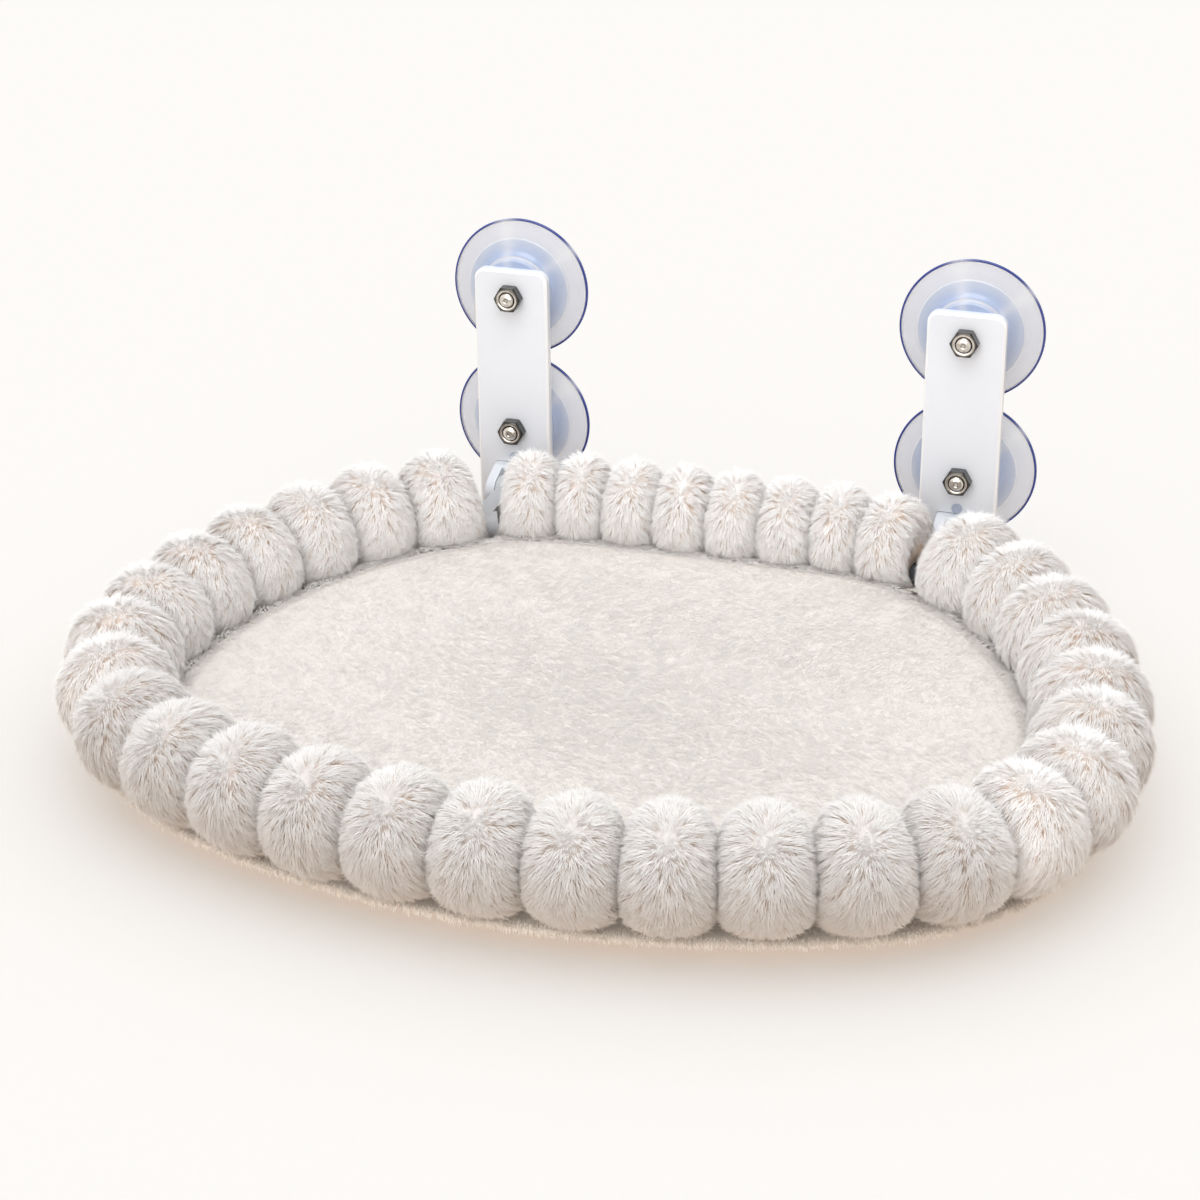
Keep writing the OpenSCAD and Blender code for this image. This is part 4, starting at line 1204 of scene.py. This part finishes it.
def row_tree():
    """Geometry tree that sets a shape along a line, in two rows by turns if staggered."""
    tree, given = tree_with("row_of_shapes", {
        "Spacing": "Float", "Stagger": "Float", "Size": "Vector", "Shape": "Object",
        "Finish": "Material"})
    line = place(tree, "GeometryNodeMeshToCurve", {"Mesh": given["Geometry"]})
    spots = place(tree, "GeometryNodeCurveToPoints", {"Curve": line, "Length": given["Spacing"]},
                  mode="LENGTH")
    tangent = spots.other("Tangent")
    index = place(tree, "GeometryNodeInputIndex")
    row = (index.maths("MODULO", index, 2.0) - 0.5) * given["Stagger"]
    aside = scaled(tree, vector(tree, "CROSS_PRODUCT", tangent, (0, 0, 1)), row)
    spots = place(tree, "GeometryNodeSetPosition", {"Geometry": spots, "Offset": aside})
    shapes = place(tree, "GeometryNodeInstanceOnPoints", {
        "Points": spots, "Instance": shape_of(tree, given["Shape"]),
        "Rotation": turned_to(tree, (0, 0, 1), tangent), "Scale": given["Size"]})
    shapes = place(tree, "GeometryNodeRealizeInstances", {"Geometry": shapes})
    close_tree(tree, shapes, given["Finish"])
    return tree


def row_of(name, line, shape, finish, slot, spacing, size, stagger=0.0, closed=False):
    """A row of shapes on the perch along a line of points, all in millimetres."""
    count = len(line)
    edges = [(i, (i + 1) % count) for i in range(count if closed else count - 1)]
    row = grown(name, mesh_piece("line", line, [], edges), row_tree(), {
        "Spacing": spacing * MM, "Stagger": stagger * MM, "Size": [n * MM for n in size],
        "Shape": shape, "Finish": finish})
    set_down(row, "perch", finish, slot)


def bead_shape(name, sides=6, bands=3):
    """A closed spindle, one unit long along X."""
    turn = steps_round(TURN, sides)
    points = [[-500, 0, 0]]
    for at in (-0.36 + 0.72 * k / (bands - 1) for k in range(bands)):
        r = 500 * math.cos(at * 2.2)
        points += [[1000 * at, r * math.cos(a), r * math.sin(a)] for a in turn]
    points.append([500, 0, 0])
    last = len(points) - 1
    faces = fan(0, 1, sides) + [[1 + i for i in face] for face in quads(bands, sides)]
    faces += fan(last, last - sides, sides, flip=True)
    return mesh_piece(name, points, facing_out(points, faces))


def rim_host(points=768):
    """The lower cover's rim with the values its short pile grows by."""
    # Distance out and height of each loop, over the edge and down its side
    rows = ((UNDER_OUT - 7, 0.2), (UNDER_OUT - 1.5, 0.1), (UNDER_OUT + 0.2, -0.6),
            (UNDER_OUT + 0.2, -UNDER_T + 0.5))
    spots = []
    for out, lift in rows:
        loop = ring_loop(points, -out)
        loop = np.concatenate([loop, loop[:1]])
        spots.append(np.column_stack([loop, np.full(len(loop), UNDER_Z + lift)]))
    faces = [[a, d, c, b] for a, b, c, d in quads(len(rows), points + 1, loop=False)]
    obj = mesh_piece("host", np.concatenate(spots), faces)
    outward = np.concatenate([spots[2][:, :2] - spots[0][:, :2]] * len(rows))
    store_pile(obj, np.column_stack([outward, np.full(len(outward), -0.5)]), math.radians(RIM_FALL))
    return obj


# Heights of the zip's teeth and stitches below the lower cover, and distances from its ends
TEETH_DROP, STITCH_DROP = 1.8, 1.25
TEETH_INSET, STITCH_INSET = 3, 2
THREAD_PROUD = 0.05


class PERCH_OT_underside(bpy.types.Operator):
    """Make the lower cover and its zip"""

    bl_idname = "perch.underside"
    bl_label = "Lower cover"

    def execute(self, context):
        under = tuple(context.scene.perch_colours.under)
        cover = soft_sheet("under_cover_cloth", ring_loop(SEAT_POINTS, -UNDER_OUT),
                           UNDER_Z, UNDER_T, 0, 20)
        fabric = backing("under_fabric", under, 500.0, 0.5)
        set_down(cover, "perch", fabric, "under_fabric", "under_cover")
        pile_finish = plush("under_plush", tuple(0.86 * c for c in under), under, 0.12)
        grower = Grower("rim", RIM_PILE, pile_finish, RIM_TUFT)
        pile = grower.grow("under_rim_pile", rim_host(), 500)
        grower.clear()
        set_down(pile, "perch", pile_finish, "under_fabric")

        bead = bead_shape("bead")
        thread = woven("thread", srgb(0.96, 0.95, 0.92), 4000.0)
        low = UNDER_Z - UNDER_T
        seam = ring_loop(2 * SEAT_POINTS, 4 - UNDER_OUT)
        seam = np.column_stack([seam, np.full(len(seam), low - THREAD_PROUD)])
        row_of("under_cover_stitches", seam, bead, thread, "under_fabric", 4.2,
               (3.2, 0.75, 0.6), closed=True)

        def across(inset, off, drop):
            """A straight line along the zip."""
            return [(side * (ZIP_L / 2 - inset), ZIP_Y + off, low - drop) for side in (-1, 1)]

        enamel = moulded("zip_teeth", srgb(0.93, 0.91, 0.88), 0.35)
        row_of("zip_teeth", across(TEETH_INSET, 0, TEETH_DROP), bead, enamel, "zip_tape", 1.3,
               (0.9, 2.6, 1.0), stagger=1.5)
        for number, off in enumerate((-ZIP_W / 2 + STITCH_INSET, ZIP_W / 2 - STITCH_INSET)):
            row_of(f"zip_stitches_{number + 1}", across(STITCH_INSET, off, STITCH_DROP), bead,
                   thread, "zip_tape", 3.4, (2.5, 0.6, 0.45))
        take_away(bead)
        weave = woven("zip_tape", srgb(0.88, 0.86, 0.83))
        tape = refine("cover_zip", 0.25, "perch", weave, "zip_tape")
        slider = metal("slider_metal", srgb(0.75, 0.75, 0.74), 0.3)
        refine("zip_slider", 0.2, "perch", slider, "zip_tape")
        return {"FINISHED"}


# Colours that unseen rays and the camera meet on the floor, as paper and as glow
PAPER = ((0.80, 0.72, 0.64), (1.0, 0.987, 0.973))
GLOW = ((0.25, 0.18, 0.13), (0.237, 0.225, 0.209))
FLOOR_HALF = 6000
# The sky at the horizon and above, and the backdrop that the camera sees
SKY = ((0.44, 0.39, 0.35), (0.905, 0.93, 0.95))
BACKDROP = srgb(0.996, 0.984, 0.969)
# Lamps in metres and watts, with the pieces that each is flagged off. They leave the floor to
# the world's light, and the back lamp leaves the ring's front, the seat and the cups alone.
LAMP_SIZE = 1.3
LAMP_AIM = (0, -0.2, -0.02)
LAMPS = (
    ("key", (-0.4, -1.7, 0.6), 2, ("floor",)),
    ("back", (0.0, -1.7, 0.6), 11, ("floor", "bolster_front", "seat", "suction")),
    ("top", (0.05, -0.6, 1.7), 16, ("floor",)))
# The photograph's camera, solved from the cups, nuts, plates and ring: metres, degrees, pixels
CAMERA_SPOT = (0.339, -1.303, 0.556)
CAMERA_TURN = (17.86, 25.85, -0.59)
FOCAL_PIXELS, PHOTO_PIXELS, SENSOR = 2663, 1200, 36


def seen_rays(tree):
    """1 for rays that show the background: from the camera, gloss and through clear pieces."""
    rays = place(tree, "ShaderNodeLightPath")
    glossy = rays.maths("MAXIMUM", rays, rays.other("Is Glossy Ray"))
    return glossy.maths("MAXIMUM", glossy, rays.other("Is Transmission Ray"))


def make_floor(drop):
    """A wide pale floor at a depth in millimetres."""
    corners = [[x * FLOOR_HALF, y * FLOOR_HALF, -drop]
               for x, y in ((-1, -1), (1, -1), (1, 1), (-1, 1))]
    floor = mesh_piece("floor", corners, [[0, 1, 2, 3]])
    finish, tree = start_finish("floor_paper")
    seen = seen_rays(tree)
    paper = place(tree, "ShaderNodeBsdfDiffuse", {"Color": blend_colours(tree, seen, *PAPER)})
    glow = place(tree, "ShaderNodeEmission", {
        "Color": blend_colours(tree, seen, *GLOW), "Strength": 1.0})
    both = place(tree, "ShaderNodeAddShader", {0: paper, 1: glow})
    place(tree, "ShaderNodeOutputMaterial", {"Surface": both})
    floor.data.materials.append(finish)


def make_world(scene):
    """A plain backdrop for seen rays, and a sky that is brighter above for the others."""
    scene.world = bpy.data.worlds.new("studio")
    scene.world.use_nodes = True
    tree = scene.world.node_tree
    tree.nodes.clear()
    shown = place(tree, "ShaderNodeBackground", {"Color": (*BACKDROP, 1), "Strength": 1.0})
    toward = place(tree, "ShaderNodeTexCoord", out="Generated")
    above = place(tree, "ShaderNodeSeparateXYZ", {0: toward}).other("Z")
    sky = blend_colours(tree, above.clamped(), *SKY)
    light = place(tree, "ShaderNodeBackground", {"Color": sky, "Strength": 1.0})
    both = place(tree, "ShaderNodeMixShader", {"Fac": seen_rays(tree), 1: light, 2: shown})
    place(tree, "ShaderNodeOutputWorld", {"Surface": both})


def make_lamp(scene, name, spot, power, dark):
    """A square lamp that leaves out the objects whose names begin with one of dark."""
    lamp = bpy.data.lights.new(name, "AREA")
    lamp.energy = power
    lamp.size = LAMP_SIZE
    obj = linked(name, lamp)
    unlit = bpy.data.collections.new(name + "_flag")
    for other in scene.objects:
        if other.name.startswith(dark):
            unlit.objects.link(other)
    for entry in unlit.collection_objects:
        entry.light_linking.link_state = "EXCLUDE"
    obj.light_linking.receiver_collection = unlit
    obj.location = spot
    aim = Vector(LAMP_AIM) - Vector(spot)
    obj.rotation_euler = aim.to_track_quat("-Z", "Y").to_euler()


def make_camera(scene):
    """The camera at the photograph's place."""
    yaw, pitch, roll = map(math.radians, CAMERA_TURN)
    ahead = Vector((-math.sin(yaw) * math.cos(pitch), math.cos(yaw) * math.cos(pitch),
                    -math.sin(pitch)))
    right = Vector((math.cos(yaw), math.sin(yaw), 0))
    up = right.cross(ahead)
    right, up = (right * math.cos(roll) + up * math.sin(roll),
                 up * math.cos(roll) - right * math.sin(roll))
    camera = bpy.data.cameras.new("camera")
    camera.sensor_width = SENSOR
    camera.lens = SENSOR * FOCAL_PIXELS / PHOTO_PIXELS
    obj = linked("camera", camera)
    axes = Matrix((right, up, -ahead)).transposed().to_4x4()
    obj.matrix_world = Matrix.Translation(CAMERA_SPOT) @ axes
    scene.camera = obj


class PERCH_OT_stage(bpy.types.Operator):
    """Make the floor, the lights, the backdrop and the camera"""

    bl_idname = "perch.stage"
    bl_label = "Stage"

    def execute(self, context):
        scene = context.scene
        scene.view_settings.view_transform = "Standard"
        make_floor(scene.perch_sizes.floor_drop / MM)
        make_world(scene)
        for lamp in LAMPS:
            make_lamp(scene, *lamp)
        make_camera(scene)
        return {"FINISHED"}


class PERCH_PT_panel(bpy.types.Panel):
    """Lists the perch's pieces in the sidebar"""

    bl_idname = "PERCH_PT_panel"
    bl_label = "Window cat perch"
    bl_space_type = "VIEW_3D"
    bl_region_type = "UI"
    bl_category = "Perch"

    def draw(self, context):
        for group in (context.scene.perch_sizes, context.scene.perch_colours):
            for name in group.__annotations__:
                self.layout.prop(group, name)
        for operator in OPERATORS:
            self.layout.operator(operator.bl_idname)


# The stage comes last, because its lamps are flagged off pieces by name
OPERATORS = (PERCH_OT_cups, PERCH_OT_plates, PERCH_OT_hinges, PERCH_OT_arms, PERCH_OT_tubes,
             PERCH_OT_bolster, PERCH_OT_underside, PERCH_OT_seat, PERCH_OT_stage)
CLASSES = (PerchSizes, PerchColours, *OPERATORS, PERCH_PT_panel)


def register():
    for item in CLASSES:
        bpy.utils.register_class(item)
    bpy.types.Scene.perch_sizes = bpy.props.PointerProperty(type=PerchSizes)
    bpy.types.Scene.perch_colours = bpy.props.PointerProperty(type=PerchColours)


def unregister():
    del bpy.types.Scene.perch_sizes
    del bpy.types.Scene.perch_colours
    for item in reversed(CLASSES):
        bpy.utils.unregister_class(item)


def main():
    register()
    for operator in OPERATORS:
        group, name = operator.bl_idname.split(".")
        getattr(getattr(bpy.ops, group), name)()


if __name__ == "__main__":
    main()
